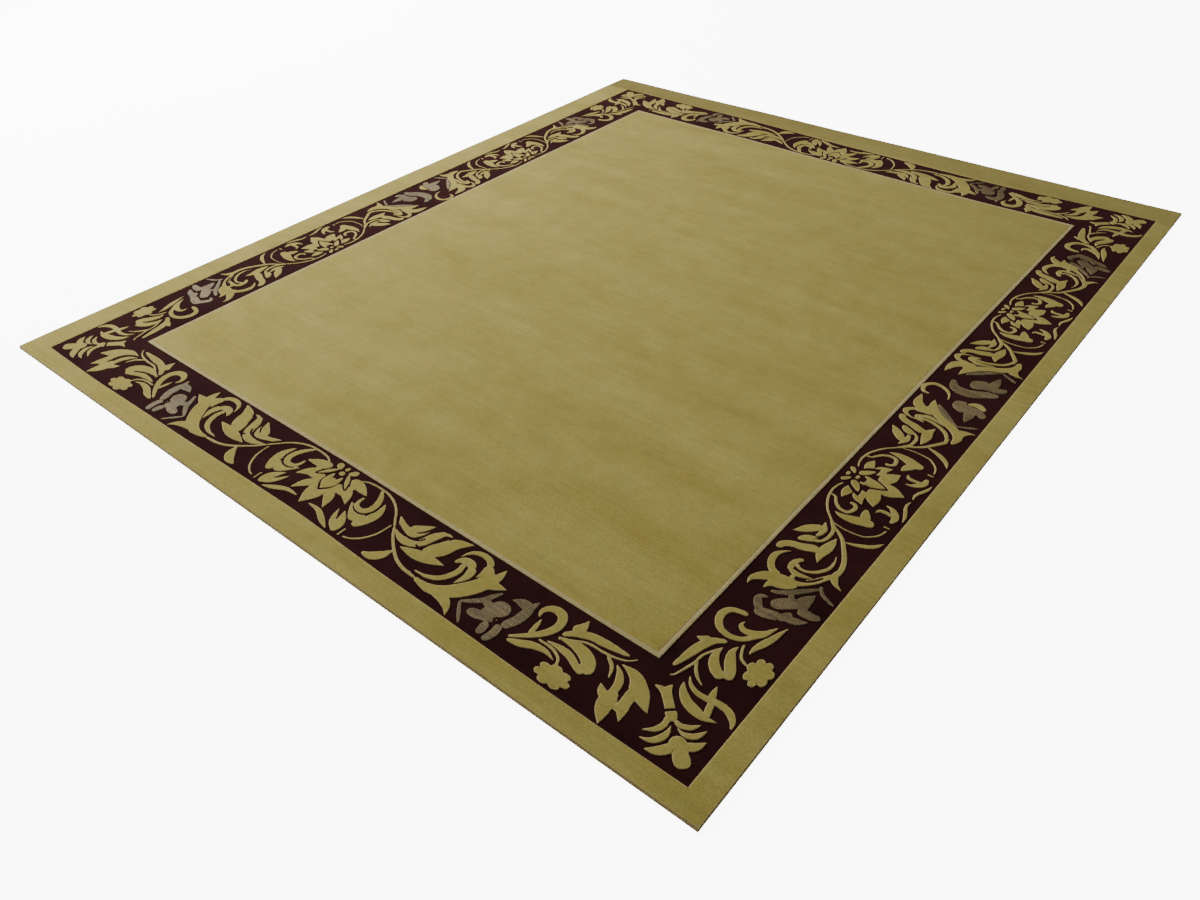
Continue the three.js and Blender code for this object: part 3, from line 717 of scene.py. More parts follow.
class Tiler:
    """Fills the areas between edges with triangles."""

    clearance = 1.0
    bare = (Area.OUTSIDE, Area.GROUND)
    sample_step = 0.7
    bucket = 8
    most_apart = 7.9
    ring_slack = 0.9
    ring_apart = 0.6
    ring_gap = 0.7
    row_step = 0.87
    fill_gap = 0.5
    same_point = 1e-5
    least_area = 1e-7

    def __init__(self, edges: list, domain: Domain, rings: tuple, fill: float, reach: float = 0.0) -> None:
        """Gets ready to tile.

        Args:
            edges: The edges of the areas.
            domain: The part of the plan that is tiled.
            rings: Each ring of points beside a carved edge: its distance from it and its spacing, in mm.
            fill: The spacing of the points in open ground, or 0 for none.
            reach: How far from a carved edge the open ground starts, or 0 for twice the last ring's distance.
        """
        self.edges = edges
        self.domain = domain
        self.rings = rings
        self.fill = fill
        self.reach = reach or (2 * rings[-1][0] if rings else fill / 2)
        self.tree = self._sampled([edge for edge in edges if edge.carved])

    @classmethod
    def _sampled(cls, edges: list) -> kdtree.KDTree:
        """Samples edges closely.

        Args:
            edges: The edges.

        Returns:
            A search tree of the samples.
        """
        samples = []
        for edge in edges:
            ends = np.roll(edge.points, -1, axis=0) if edge.closed else edge.points[1:]
            for start, end in zip(edge.points, ends):
                steps = max(1, int(np.linalg.norm(end - start) / cls.sample_step))
                samples.append(start + (end - start) * np.arange(steps)[:, None] / steps)
        cloud = np.vstack(samples) if samples else np.full((1, 2), FAR)
        tree = kdtree.KDTree(len(cloud))
        for index, (x, y) in enumerate(cloud):
            tree.insert((x, y, 0), index)
        tree.balance()
        return tree

    def distance_to_edge(self, point: np.ndarray) -> float:
        """Returns a point's distance from the nearest carved edge."""
        return self.tree.find((point[0], point[1], 0))[2]

    def _free_points(self) -> list:
        """Places the points that lie on no edge.

        Returns:
            The points.
        """
        placed = []
        taken = {}

        def lay(candidates: np.ndarray, far: float, apart: float, gap: float) -> None:
            """Keeps the candidates that are far enough from all else.

            Args:
                candidates: The points to choose from.
                far: The least distance from an edge.
                apart: The least distance from each other.
                gap: The least distance from the points laid earlier.
            """
            fresh = {}
            for point in candidates[self.domain.holds(candidates, self.clearance)]:
                near = self.distance_to_edge(point)
                if near < far:
                    continue
                home = (int(point[0] // self.bucket), int(point[1] // self.bucket))
                near_homes = [(home[0] + i, home[1] + j) for i in range(-1, 2) for j in range(-1, 2)]
                if any((point[0] - q[0]) ** 2 + (point[1] - q[1]) ** 2 < least * least
                       for kept, least in ((fresh, apart), (taken, gap))
                       for near_home in near_homes for q in kept.get(near_home, ())):
                    continue
                fresh.setdefault(home, []).append(point)
                placed.append(point)
            for home, points in fresh.items():
                taken.setdefault(home, []).extend(points)

        before = 0.0
        for distance, spacing in self.rings:
            rings = [self._beside(edge, sign * distance, spacing) for edge in self.edges if edge.carved
                     for sign, area in ((1, edge.left), (-1, edge.right)) if area not in self.bare]
            lay(np.vstack(rings), self.ring_slack * distance, min(self.ring_apart * spacing, self.most_apart),
                min(self.ring_gap * (distance - before), self.most_apart))
            before = distance
        if self.fill:
            corner = np.vstack([edge.points for edge in self.edges])
            low, high = corner.min(axis=0), corner.max(axis=0)
            rows = np.arange(low[1] + self.fill / 2, high[1], self.fill * self.row_step)
            columns = np.arange(low[0] + self.fill / 2, high[0], self.fill)
            grid = np.array([(x + row % 2 * self.fill / 2, y) for row, y in enumerate(rows) for x in columns])
            lay(grid, self.reach, 0.0, min(self.fill_gap * self.fill, self.most_apart))
        return placed

    @staticmethod
    def _beside(edge: Edge, distance: float, spacing: float) -> np.ndarray:
        """Points at a distance to the left of an edge.

        Args:
            edge: The edge.
            distance: How far to the left, in mm.
            spacing: How far apart the points are.

        Returns:
            The points, N by 2.
        """
        points = np.vstack([edge.points, edge.points[:1]]) if edge.closed else edge.points
        chord = np.r_[0, np.cumsum(np.linalg.norm(np.diff(points, axis=0), axis=1))]
        count = max(3, int(round(chord[-1] / spacing)))
        at = (np.arange(count) + 0.5) / count * chord[-1]
        place = np.c_[np.interp(at, chord, points[:, 0]), np.interp(at, chord, points[:, 1])]
        cell = np.clip(np.searchsorted(chord, at, side="right") - 1, 0, len(chord) - 2)
        along = points[cell + 1] - points[cell]
        along /= np.maximum(np.linalg.norm(along, axis=1), TINY)[:, None]
        return place + distance * np.c_[-along[:, 1], along[:, 0]]

    def tile(self, plain: bool = False) -> Tiles:
        """Makes the triangles.

        Args:
            plain: Leaves out every point that isn't on an edge.

        Returns:
            The triangles of the domain.
        """
        points, pairs, owners = [], [], []
        for number, edge in enumerate(self.edges):
            start = len(points)
            points.extend(edge.points)
            count = len(edge.points)
            last = count if edge.closed else count - 1
            pairs += [(start + i, start + (i + 1) % count) for i in range(last)]
            owners += [number] * last
        if not plain:
            points.extend(self._free_points())
        flat = [Vector((float(x), float(y))) for x, y in points]
        vertices, edges, faces, _, origins, _ = delaunay_2d_cdt(flat, pairs, [], 0, self.same_point, True)
        place = np.array([(v.x, v.y) for v in vertices])
        triangles = np.array(faces, int)
        triangles = self.facing_up(place, triangles)
        areas = self._areas(place, triangles, edges, origins, pairs, owners, points)
        centre = place[triangles].mean(axis=1)
        keep = self.domain.holds(centre) & (areas != Area.OUTSIDE.value)
        distance = np.array([self.distance_to_edge(point) for point in place])
        return Tiles(place, triangles[keep], areas[keep], distance)

    @classmethod
    def facing_up(cls, place: np.ndarray, triangles: np.ndarray) -> np.ndarray:
        """Turns every triangle anticlockwise.

        Args:
            place: The points.
            triangles: The triangles.

        Returns:
            The turned triangles, without any of no area.
        """
        a, b, c = (place[triangles[:, k]] for k in range(3))
        twice = (b[:, 0] - a[:, 0]) * (c[:, 1] - a[:, 1]) - (b[:, 1] - a[:, 1]) * (c[:, 0] - a[:, 0])
        turned = triangles.copy()
        turned[twice < 0] = turned[twice < 0][:, ::-1]
        return turned[np.abs(twice) > cls.least_area]

    def _areas(self, place: np.ndarray, triangles: np.ndarray, edges: list, origins: list, pairs: list,
               owners: list, points: list) -> np.ndarray:
        """Finds which area each triangle belongs to, from the edges round it.

        Args:
            place: The tiling's points.
            triangles: The tiling's triangles.
            edges: The tiling's edges.
            origins: For each of the tiling's edges, the line pieces that it lies on.
            pairs: The ends of each line piece.
            owners: The plan's edge that each line piece belongs to.
            points: The points that the pairs number.

        Returns:
            The value of each triangle's area.
        """
        fixed = {}
        for (a, b), lines in zip(edges, origins):
            if not lines:
                continue
            along = place[b] - place[a]
            for line in lines:
                start, end = pairs[line]
                edge = self.edges[owners[line]]
                same = float(np.dot(along, np.asarray(points[end]) - np.asarray(points[start]))) > 0
                fixed.setdefault((min(a, b), max(a, b)), []).append(
                    ((a, b), edge.left if same else edge.right, edge.right if same else edge.left))
        parent = list(range(len(triangles)))

        def root(index: int) -> int:
            """Finds the group that a triangle is in.

            Args:
                index: The triangle's number.

            Returns:
                The number of the triangle that stands for the group.
            """
            while parent[index] != index:
                parent[index] = parent[parent[index]]
                index = parent[index]
            return index

        seen, votes = {}, {}
        for index, triangle in enumerate(triangles.tolist()):
            for a, b in zip(triangle, triangle[1:] + triangle[:1]):
                key = (a, b) if a < b else (b, a)
                if key in fixed:
                    for (start, _), left, right in fixed[key]:
                        votes.setdefault(index, []).append(left if start == a else right)
                elif key in seen:
                    one, two = root(seen[key]), root(index)
                    if one != two:
                        parent[one] = two
                else:
                    seen[key] = index
        tally = {}
        for index, names in votes.items():
            tally.setdefault(root(index), Counter()).update(name for name in names if name is not None)
        result = np.full(len(triangles), Area.OUTSIDE.value)
        for index in range(len(triangles)):
            counts = tally.get(root(index))
            if counts:
                result[index] = counts.most_common(1)[0][0].value
        return result


# The border's lengths

@dataclass(frozen=True)
class Length:
    """A drawn length of the border: its triangles with and without points inside its areas."""
    fine: Tiles
    plain: Tiles


class BorderDrawing:
    """Draws the lengths that the whole border is made of."""

    rings = ((1.3, 3.8), (3.8, 6.5))
    fill = 14.0
    lap = 1.5
    spare = 8
    inner_slant = 0.36
    shoulder = 124.0

    def outer_run(self, design: RunDesign) -> Length:
        """Draws the run from the middle of a lotus to the corner's diagonal.

        Args:
            design: Its own strokes.

        Returns:
            The run.
        """
        chart = Chart((-LOTUS_SPAN, -self.spare), (DRAWN_CORNER + self.spare, DRAWN_WIDTH + self.spare))
        for stroke in design.lotus:
            outline = stroke.outline()
            chart.lay(outline, stroke.paint)
            chart.lay(outline * (-1, 1), stroke.paint)
        for stroke in design.scroll:
            chart.lay(stroke.outline(), stroke.paint)
        for stroke in design.corner_leaf:
            outline = stroke.outline()
            chart.lay(np.c_[DRAWN_CORNER - outline[:, 0], outline[:, 1]], stroke.paint)
        for stroke in PALMETTE:
            outline = stroke.outline()
            chart.lay(np.c_[DRAWN_CORNER - outline[:, 0], outline[:, 1]], stroke.paint)
            chart.lay(np.c_[DRAWN_CORNER - outline[:, 1], outline[:, 0]], stroke.paint)
        low, high = -self.lap, DRAWN_WIDTH + self.lap
        domain = Domain(((1, 0, 0), (0, 1, -low), (0, -1, high), (-1, -1, DRAWN_CORNER)))
        corners = ((0, low), (DRAWN_CORNER - low, low), (DRAWN_CORNER - high, high), (0, high))
        return self._tiled(chart, domain, corners)

    def inner_pair(self) -> Length:
        """Draws the middle of a long side, from the middle of one lotus to that of the next.

        Returns:
            The length between the two.
        """
        end = 2 * INNER_END
        chart = Chart((-LOTUS_SPAN, -self.spare), (end + LOTUS_SPAN, DRAWN_WIDTH + self.spare), (0.0, end))
        for stroke in SIDE_LOTUS:
            outline = stroke.outline()
            for sign in (1, -1):
                chart.lay(outline * (sign, 1), stroke.paint)
                chart.lay(outline * (sign, 1) + (end, 0), stroke.paint)
        for sign, start, silk in ((1, 0, SILK_INNER + SILK_ARC), (-1, end, SILK_INNER + OPEN_END)):
            for stroke in SIDE_RING + SIDE_SPLIT_LEAF:
                chart.lay(stroke.outline() * (sign, 1) + (start, 0), stroke.paint)
            for stroke in ACANTHUS + SHORT_WINGS:
                outline = self._leaned(stroke.outline(), self.inner_slant)
                chart.lay(outline * (sign, 1) + (start, 0), stroke.paint)
            for stroke in silk:
                chart.lay(stroke.outline() * (sign, 1) + (start, 0), stroke.paint)
        low, high = -self.lap, DRAWN_WIDTH + self.lap
        domain = Domain(((1, 0, 0), (-1, 0, end), (0, 1, -low), (0, -1, high)))
        return self._tiled(chart, domain, ((0, low), (end, low), (end, high), (0, high)))

    def _leaned(self, outline: np.ndarray, slant: float) -> np.ndarray:
        """Leans what lies below an acanthus's shoulder towards the lotus.

        Args:
            outline: The outline as drawn.
            slant: The shift for each mm below the shoulder.

        Returns:
            The leaned outline.
        """
        return outline - np.c_[slant * np.maximum(self.shoulder - outline[:, 1], 0), np.zeros(len(outline))]

    def _tiled(self, chart: Chart, domain: Domain, corners: tuple) -> Length:
        """Tiles a chart.

        Args:
            chart: The painted chart.
            domain: The part of it that is tiled.
            corners: The domain's corners, anticlockwise.

        Returns:
            The length.
        """
        areas = (Area.LEAF, Area.SILK)
        sides = sides_of(corners, SIDE_STEP)
        edges = [Edge(loop, area, Area.GROUND) for area in areas for loop in chart.outlines(area)]
        edges += [Edge(side, None, Area.OUTSIDE, closed=False, carved=False) for side in sides]
        tiler = Tiler(edges, domain, self.rings, self.fill)
        return Length(tiler.tile(), tiler.tile(plain=True))


def sides_of(corners: tuple, step: float) -> list:
    """Divides the sides of a polygon.

    Args:
        corners: Its corners.
        step: The longest piece, in mm.

    Returns:
        For each side, its points with both ends.
    """
    sides = []
    for start, end in zip(corners, corners[1:] + corners[:1]):
        start, end = np.array(start, float), np.array(end, float)
        count = max(1, math.ceil(np.linalg.norm(end - start) / step))
        sides.append(start + (end - start) * np.linspace(0, 1, count + 1)[:, None])
    return sides


# The rug's plan

READ_SAMPLES = 9
READ_SPREAD = 2.4

@dataclass(frozen=True)
class CornerPlace:
    """A corner of the rug, and how the edge from it to the next corner wanders."""
    name: str
    toward: tuple
    short: tuple
    sway: float
    waves: int


@dataclass(frozen=True)
class Station:
    """A place along a run: how far it is drawn from the lotus, and its share of the real length."""
    name: str
    drawn: float
    short: float
    long: float
    inner: float


@dataclass(frozen=True)
class Lotus:
    """A lotus of the border, and the way from it to the nearest corner, or 0 for both ways."""
    side: Side
    at: float
    way: int


@dataclass
class Plan:
    """The rug seen from above, in mm, with the same sizes as its CAD sheet."""
    width: float = 2447.0
    length: float = 3055.0
    corners: tuple = (
        CornerPlace("front left", (-1, -1), (31, 0), 0.0, 1),
        CornerPlace("front right", (1, -1), (0, 3), 1.0, 1),
        CornerPlace("back right", (1, 1), (6, 0), 2.5, 3),
        CornerPlace("back left", (-1, 1), (0, 29), 1.5, 2),
    )
    band: dict = field(default_factory=lambda: {
        Side.LEFT: (-1108.0, 201.0), Side.RIGHT: (1165.0, 206.0),
        Side.FRONT: (-1470.0, 203.0), Side.BACK: (1385.0, 191.0),
    })
    front_bow: tuple = ((-1108, 0), (-850, -4), (-400, 4), (60, 13), (300, 6), (800, -1), (1165, 0))
    back_bow: tuple = ((-1108, 1), (-430, 4), (0, -9), (300, -13), (640, -13), (1000, 13), (1165, 20))
    bow_start: float = 0.92
    bow_fade: float = 400.0
    inner_bow: float = 0.45
    bow_soft: float = 70.0
    station_soft: float = 30.0
    corner_blend: float = 60.0
    stations: tuple = (
        Station("lotus", 0, 0, 0, 0),
        Station("pod edge", 181, 0.16, 0.165, 0.296),
        Station("drop root", 296, 0.257, 0.236, 0.43),
        Station("leaf top", 427, 0.37, 0.338, 0.604),
        Station("fork", 520, 0.446, 0.405, 0.7),
        Station("barb", 579, 0.502, 0.478, 0.86),
        Station("silk edge", 656, 0.57, 0.557, 1.014),
        Station("flower", 798, 0.69, 0.679, 1.3),
        Station("spray end", 900, 0.782, 0.78, 1.5),
        Station("turn end", 997, 0.868, 0.853, 1.7),
        Station("corner", 1145, 1, 1, 2),
    )
    lotuses: tuple = (
        Lotus(Side.FRONT, 22.0, 0), Lotus(Side.BACK, 18.0, 0),
        Lotus(Side.RIGHT, -507.0, -1), Lotus(Side.RIGHT, 491.0, 1),
        Lotus(Side.LEFT, -524.0, -1), Lotus(Side.LEFT, 481.0, 1),
    )

    def outline(self, inset: float, pieces: int = 64) -> np.ndarray:
        """Draws the rug's own edge.

        Args:
            inset: How far in from the edge, in mm.
            pieces: How many pieces each side is drawn in.

        Returns:
            The closed outline, anticlockwise.
        """
        half = np.array((self.width, self.length)) / 2
        places = [np.array(c.toward) * (half - c.short) for c in self.corners]
        sides = []
        for index, corner in enumerate(self.corners):
            start, run = places[index], places[(index + 1) % 4] - places[index]
            inward = np.array((-run[1], run[0])) / np.linalg.norm(run)
            share = (np.arange(pieces) / pieces)[:, None]
            wander = corner.sway * (1 - np.cos(2 * math.pi * corner.waves * share)) / 2
            sides.append(start + run * share + inward * wander)
        return np.vstack(sides) * (1 - inset / half)

    @staticmethod
    def _read(table: tuple, at: np.ndarray, soft: float) -> np.ndarray:
        """Reads a table of places and values, with its kinks smoothed.

        Args:
            table: Rows of a place and a value.
            at: Where it is read.
            soft: How far to each side a kink is smoothed.

        Returns:
            The values.
        """
        keys = np.array([row[0] for row in table], float)
        values = np.array([row[1] for row in table], float)
        first = (values[1] - values[0]) / (keys[1] - keys[0])
        last = (values[-1] - values[-2]) / (keys[-1] - keys[-2])
        keys = np.r_[keys[0] - 3 * soft, keys, keys[-1] + 3 * soft]
        values = np.r_[values[0] - 3 * soft * first, values, values[-1] + 3 * soft * last]
        shifts = np.linspace(-soft, soft, READ_SAMPLES)
        weights = np.cos(shifts / soft * math.pi / READ_SPREAD)
        read = sum(w * np.interp(at + shift, keys, values) for w, shift in zip(weights, shifts))
        return read / weights.sum()

    def bowed(self, points: np.ndarray) -> np.ndarray:
        """Moves points of the unbowed border to where they lie.

        Args:
            points: The points, N by 2.

        Returns:
            The moved points.
        """
        shift = np.zeros(len(points))
        for side, way, bow in ((Side.FRONT, 1, self.front_bow), (Side.BACK, -1, self.back_bow)):
            outer, width = self.band[side]
            inward = way * (points[:, 1] - outer)
            places = (self.bow_start * width, width, width + self.bow_fade)
            fading = np.interp(inward, places, (1, self.inner_bow, 0))
            shift += fading * self._read(bow, points[:, 0], self.bow_soft)
        return points + np.c_[np.zeros(len(points)), shift]

    def rectangle(self, share: float, further: float = 0.0, step: float = SIDE_STEP) -> np.ndarray:
        """Draws a rectangle inside the band's outer edge, bowed as the band is.

        Args:
            share: How far in, as a share of the band's width.
            further: How much further in, in mm.
            step: The longest piece, in mm.

        Returns:
            The closed outline, anticlockwise.
        """
        (left, left_width), (right, right_width) = self.band[Side.LEFT], self.band[Side.RIGHT]
        (front, front_width), (back, back_width) = self.band[Side.FRONT], self.band[Side.BACK]
        x0, x1 = left + left_width * share + further, right - right_width * share - further
        y0, y1 = front + front_width * share + further, back - back_width * share - further
        sides = sides_of(((x0, y0), (x1, y0), (x1, y1), (x0, y1)), step)
        return self.bowed(np.vstack([side[:-1] for side in sides]))

    def on_side(self, side: Side, along: np.ndarray, drawn_in: np.ndarray) -> np.ndarray:
        """Puts points given by their places along a side and in from the band's outer edge onto the rug.

        Args:
            side: The side.
            along: The places along it.
            drawn_in: How far in each is drawn.

        Returns:
            The points.
        """
        outer, width = self.band[side]
        inward = outer + (1 if outer < 0 else -1) * drawn_in * width / DRAWN_WIDTH
        flat = np.c_[along, inward] if side in (Side.FRONT, Side.BACK) else np.c_[inward, along]
        return self.bowed(flat)

    def _share(self, scale: Scale, drawn: np.ndarray) -> np.ndarray:
        """Reads the share of its run's real length that a drawn distance has.

        Args:
            scale: The column of the stations.
            drawn: The drawn distances from the lotus.

        Returns:
            The shares, 0 at the lotus itself.
        """
        table = tuple((station.drawn, getattr(station, scale.value)) for station in self.stations)
        start, share = (self._read(table, at, self.station_soft) for at in (np.zeros(1), np.abs(drawn)))
        return share - start * np.clip(1 - drawn / LOTUS_SPAN, 0, 1)

    def run_points(self, lotus: Lotus, way: int, drawn: np.ndarray) -> np.ndarray:
        """Lays an outer run onto the rug, from its lotus to a corner.

        Args:
            lotus: The lotus.
            way: 1 for towards higher X or Y, and -1 for lower.
            drawn: The run's points as drawn.

        Returns:
            The points on the rug.
        """
        short = lotus.side in (Side.FRONT, Side.BACK)
        across = {(True, -1): Side.LEFT, (True, 1): Side.RIGHT,
                  (False, -1): Side.FRONT, (False, 1): Side.BACK}
        end, end_width = self.band[across[short, way]]
        length = abs(end - lotus.at)
        scale = Scale.SHORT if short else Scale.LONG
        share = self._share(scale, drawn[:, 0])
        from_corner = DRAWN_CORNER - drawn[:, 0]
        square = from_corner * end_width / DRAWN_WIDTH
        stretched = length * (1 - share)
        blend = np.clip((from_corner - drawn[:, 1]) / self.corner_blend, 0, 1)
        blend = blend * blend * (3 - 2 * blend)
        real = square * (1 - blend) + stretched * blend
        return self.on_side(lotus.side, lotus.at + way * (length - real), drawn[:, 1])

    def pair_points(self, closed: Lotus, open_end: Lotus, drawn: np.ndarray) -> np.ndarray:
        """Lays the middle of a long side onto the rug.

        Args:
            closed: The lotus that the drawing starts at, whose silk flower has its band.
            open_end: The lotus that it ends at.
            drawn: The points as drawn.

        Returns:
            The points on the rug.
        """
        way = 1 if open_end.at > closed.at else -1

        length = abs(open_end.at - closed.at) / 2 / self._share(Scale.INNER, np.array([INNER_END]))
        near = drawn[:, 0] <= INNER_END
        from_closed = length * self._share(Scale.INNER, np.clip(drawn[:, 0], 0, INNER_END))
        from_open = length * self._share(Scale.INNER, np.clip(2 * INNER_END - drawn[:, 0], 0, INNER_END))
        along = np.where(near, closed.at + way * from_closed, open_end.at - way * from_open)
        return self.on_side(closed.side, along, drawn[:, 1])

    def swell(self, points: np.ndarray) -> np.ndarray:
        """How much higher the pile's surface lies than flat, where the cloth has soft creases.

        Args:
            points: The points, N by 2.

        Returns:
            The height at each, in mm.
        """
        height = np.zeros(len(points))
        for x, y, turn, long, wide, high in CREASES:
            dx, dy = points[:, 0] - x, points[:, 1] - y
            cos, sin = math.cos(math.radians(turn)), math.sin(math.radians(turn))
            u, v = dx * cos + dy * sin, dy * cos - dx * sin
            height += high * np.exp(-(u / long) ** 2 - (v / wide) ** 2)
        for wave, angle, high in WAVES:
            cos, sin = math.cos(math.radians(angle)), math.sin(math.radians(angle))
            along = points[:, 0] * cos + points[:, 1] * sin
            height += high * (1 + np.sin(2 * math.pi * along / wave + angle))
        return height


# Soft creases of the laid cloth: middle, turn in degrees, half length, half width and height
CREASES = (
    (-120, -420, 24, 520, 60, 1.5),
    (330, 240, 152, 430, 75, 1.2),
    (-520, 640, 38, 480, 90, 1.0),
    (640, -760, 12, 360, 55, 0.9),
    (120, 980, 165, 420, 80, 0.8),
)
# Slow waves of the laid cloth: length, direction in degrees and height
WAVES = ((610, 20, 0.30), (430, 104, 0.25), (270, 63, 0.12))


# Solids of pile

SHARP_DEGREES = 20


@dataclass(frozen=True)
class Cut:
    """How the top of a pile is cut: its height, how far it drops at its edge, and over what distance."""
    height: float
    drop: float
    reach: float

    def top(self, distance: np.ndarray) -> np.ndarray:
        """Returns the height at a distance from the pile's edge, in mm."""
        return self.height - self.drop * (1 - np.clip(distance / self.reach, 0, 1)) ** 2


@dataclass
class PileSolid:
    """A closed body of pile: its cut top, upright sides, and a flat bottom inside the foundation."""
    name: str
    yarn: Yarn
    cut: Cut
    plan: Plan
    floor: float = 0.9
    weld: float = 0.02
    points: list = field(default_factory=list)
    distances: list = field(default_factory=list)
    tops: list = field(default_factory=list)
    bottoms: list = field(default_factory=list)
    count: int = 0

    def add(self, fine: Tiles, plain: Tiles, area: Area, lay: Callable | None = None) -> None:
        """Adds the triangles of one area.

        Args:
            fine: The triangles of the top.
            plain: The triangles of the bottom, with the same edges.
            area: The area.
            lay: Turns the tiles' points into points of the rug, or None where they already are.
        """
        for tiles, faces in ((fine, self.tops), (plain, self.bottoms)):
            points = lay(tiles.points) if lay else tiles.points
            chosen = Tiler.facing_up(points, tiles.chosen(area))
            faces.append(chosen + self.count)
            self.points.append(points)
            self.distances.append(tiles.distance)
            self.count += len(points)

    def arrays(self) -> tuple:
        """Joins all that was added.

        Returns:
            The welded points, their distances, the top's triangles and the bottom's.
        """
        points = np.vstack(self.points)
        distances = np.concatenate(self.distances)
        places = np.round(points / self.weld).astype(np.int64)
        _, first, new = np.unique(places, axis=0, return_index=True, return_inverse=True)
        new = new.reshape(-1)
        tops, bottoms = new[np.vstack(self.tops)], new[np.vstack(self.bottoms)]
        return points[first], distances[first], whole(tops), whole(bottoms)

    def build(self, part: Callable | None = None, suffix: str = "") -> bpy.types.Object:
        """Makes the solid.

        Args:
            part: Chooses the islands of pile that go in it by their middles, or None for all.
            suffix: What is added to its name.

        Returns:
            The object.
        """
        points, distances, tops, bottoms = self.arrays()
        if part:
            total = len(points)
            group = islands(total, tops)
            owner = group[tops[:, 0]]
            middles = np.c_[np.bincount(owner, points[tops[:, 0], 0], total),
                            np.bincount(owner, points[tops[:, 0], 1], total)]
            middles /= np.maximum(np.bincount(owner, minlength=total), 1)[:, None]
            chosen = part(middles)
            tops, bottoms = tops[chosen[owner]], bottoms[chosen[group[bottoms[:, 0]]]]
        heights = self.cut.top(distances) + self.plan.swell(points)
        top = np.c_[points, heights]
        return closed_solid(self.name + suffix, top, (tops, bottoms), self.floor, distances)


def whole(faces: np.ndarray) -> np.ndarray:
    """Returns the triangles whose corners are three different points."""
    a, b, c = faces.T
    return faces[(a != b) & (b != c) & (c != a)]


def boundary(faces: np.ndarray) -> np.ndarray:
    """Finds the edges with a triangle on one side only.

    Args:
        faces: The triangles.

    Returns:
        The edges, M by 2, each in its triangle's order.
    """
    ways = np.vstack([faces[:, [0, 1]], faces[:, [1, 2]], faces[:, [2, 0]]])
    size = int(faces.max()) + 1
    codes, back = ways[:, 0] * size + ways[:, 1], ways[:, 1] * size + ways[:, 0]
    return ways[~np.isin(codes, back)]


def islands(count: int, faces: np.ndarray) -> np.ndarray:
    """Numbers the connected parts of a mesh.

    Args:
        count: How many points it has.
        faces: Its triangles.

    Returns:
        For each point, the lowest number of a point that it is joined to.
    """
    group = np.arange(count)
    while True:
        lowest = group[faces].min(axis=1)
        spread = group.copy()
        for column in range(3):
            np.minimum.at(spread, faces[:, column], lowest)
        spread = spread[spread]
        if np.array_equal(spread, group):
            return group
        group = spread


def closed_solid(name: str, top: np.ndarray, faces: tuple, floor: float,
                 distances: np.ndarray | None = None) -> bpy.types.Object:
    """Makes a closed body with a flat bottom and upright walls.

    Args:
        name: Its name.
        top: The top's points in mm, N by 3.
        faces: The triangles of the top and those of the bottom, both seen from above.
        floor: The height of its bottom.
        distances: Each point's distance from the edge of its pile, or None.

    Returns:
        The object.
    """
    tops, bottoms = faces
    total = len(top)
    rim = boundary(tops)
    walls = np.c_[rim[:, 0], rim[:, 0] + total, rim[:, 1] + total, rim[:, 1]]
    place = np.vstack([top, np.c_[top[:, :2], np.full(total, floor)]])
    edge = None if distances is None else np.r_[distances, np.zeros(total)]
    return make_mesh(name, place, [tops, bottoms[:, ::-1] + total, walls], edge)


def make_mesh(name: str, place: np.ndarray, faces: list, edge: np.ndarray | None = None) -> bpy.types.Object:
    """Makes an object of points and faces, without the points that no face uses.

    Args:
        name: Its name.
        place: The points in mm, N by 3.
        faces: Arrays of triangles or quads.
        edge: Each point's distance from the edge of its pile, kept as an attribute, or None.

    Returns:
        The object.
    """
    used = np.unique(np.concatenate([block.ravel() for block in faces]))
    new = np.zeros(len(place), int)
    new[used] = np.arange(len(used))
    mesh = bpy.data.meshes.new(name)
    mesh.from_pydata((place[used] * MM).tolist(), [], [row for block in faces for row in new[block].tolist()])
    if edge is not None:
        layer = mesh.attributes.new("edge", "FLOAT", "POINT")
        layer.data.foreach_set("value", edge[used].astype(np.float32))
    mesh.shade_smooth()
    mesh.set_sharp_from_angle(angle=math.radians(SHARP_DEGREES))
    mesh.update()
    piece = bpy.data.objects.new(name, mesh)
    bpy.context.scene.collection.objects.link(piece)
    return piece


# Finishes

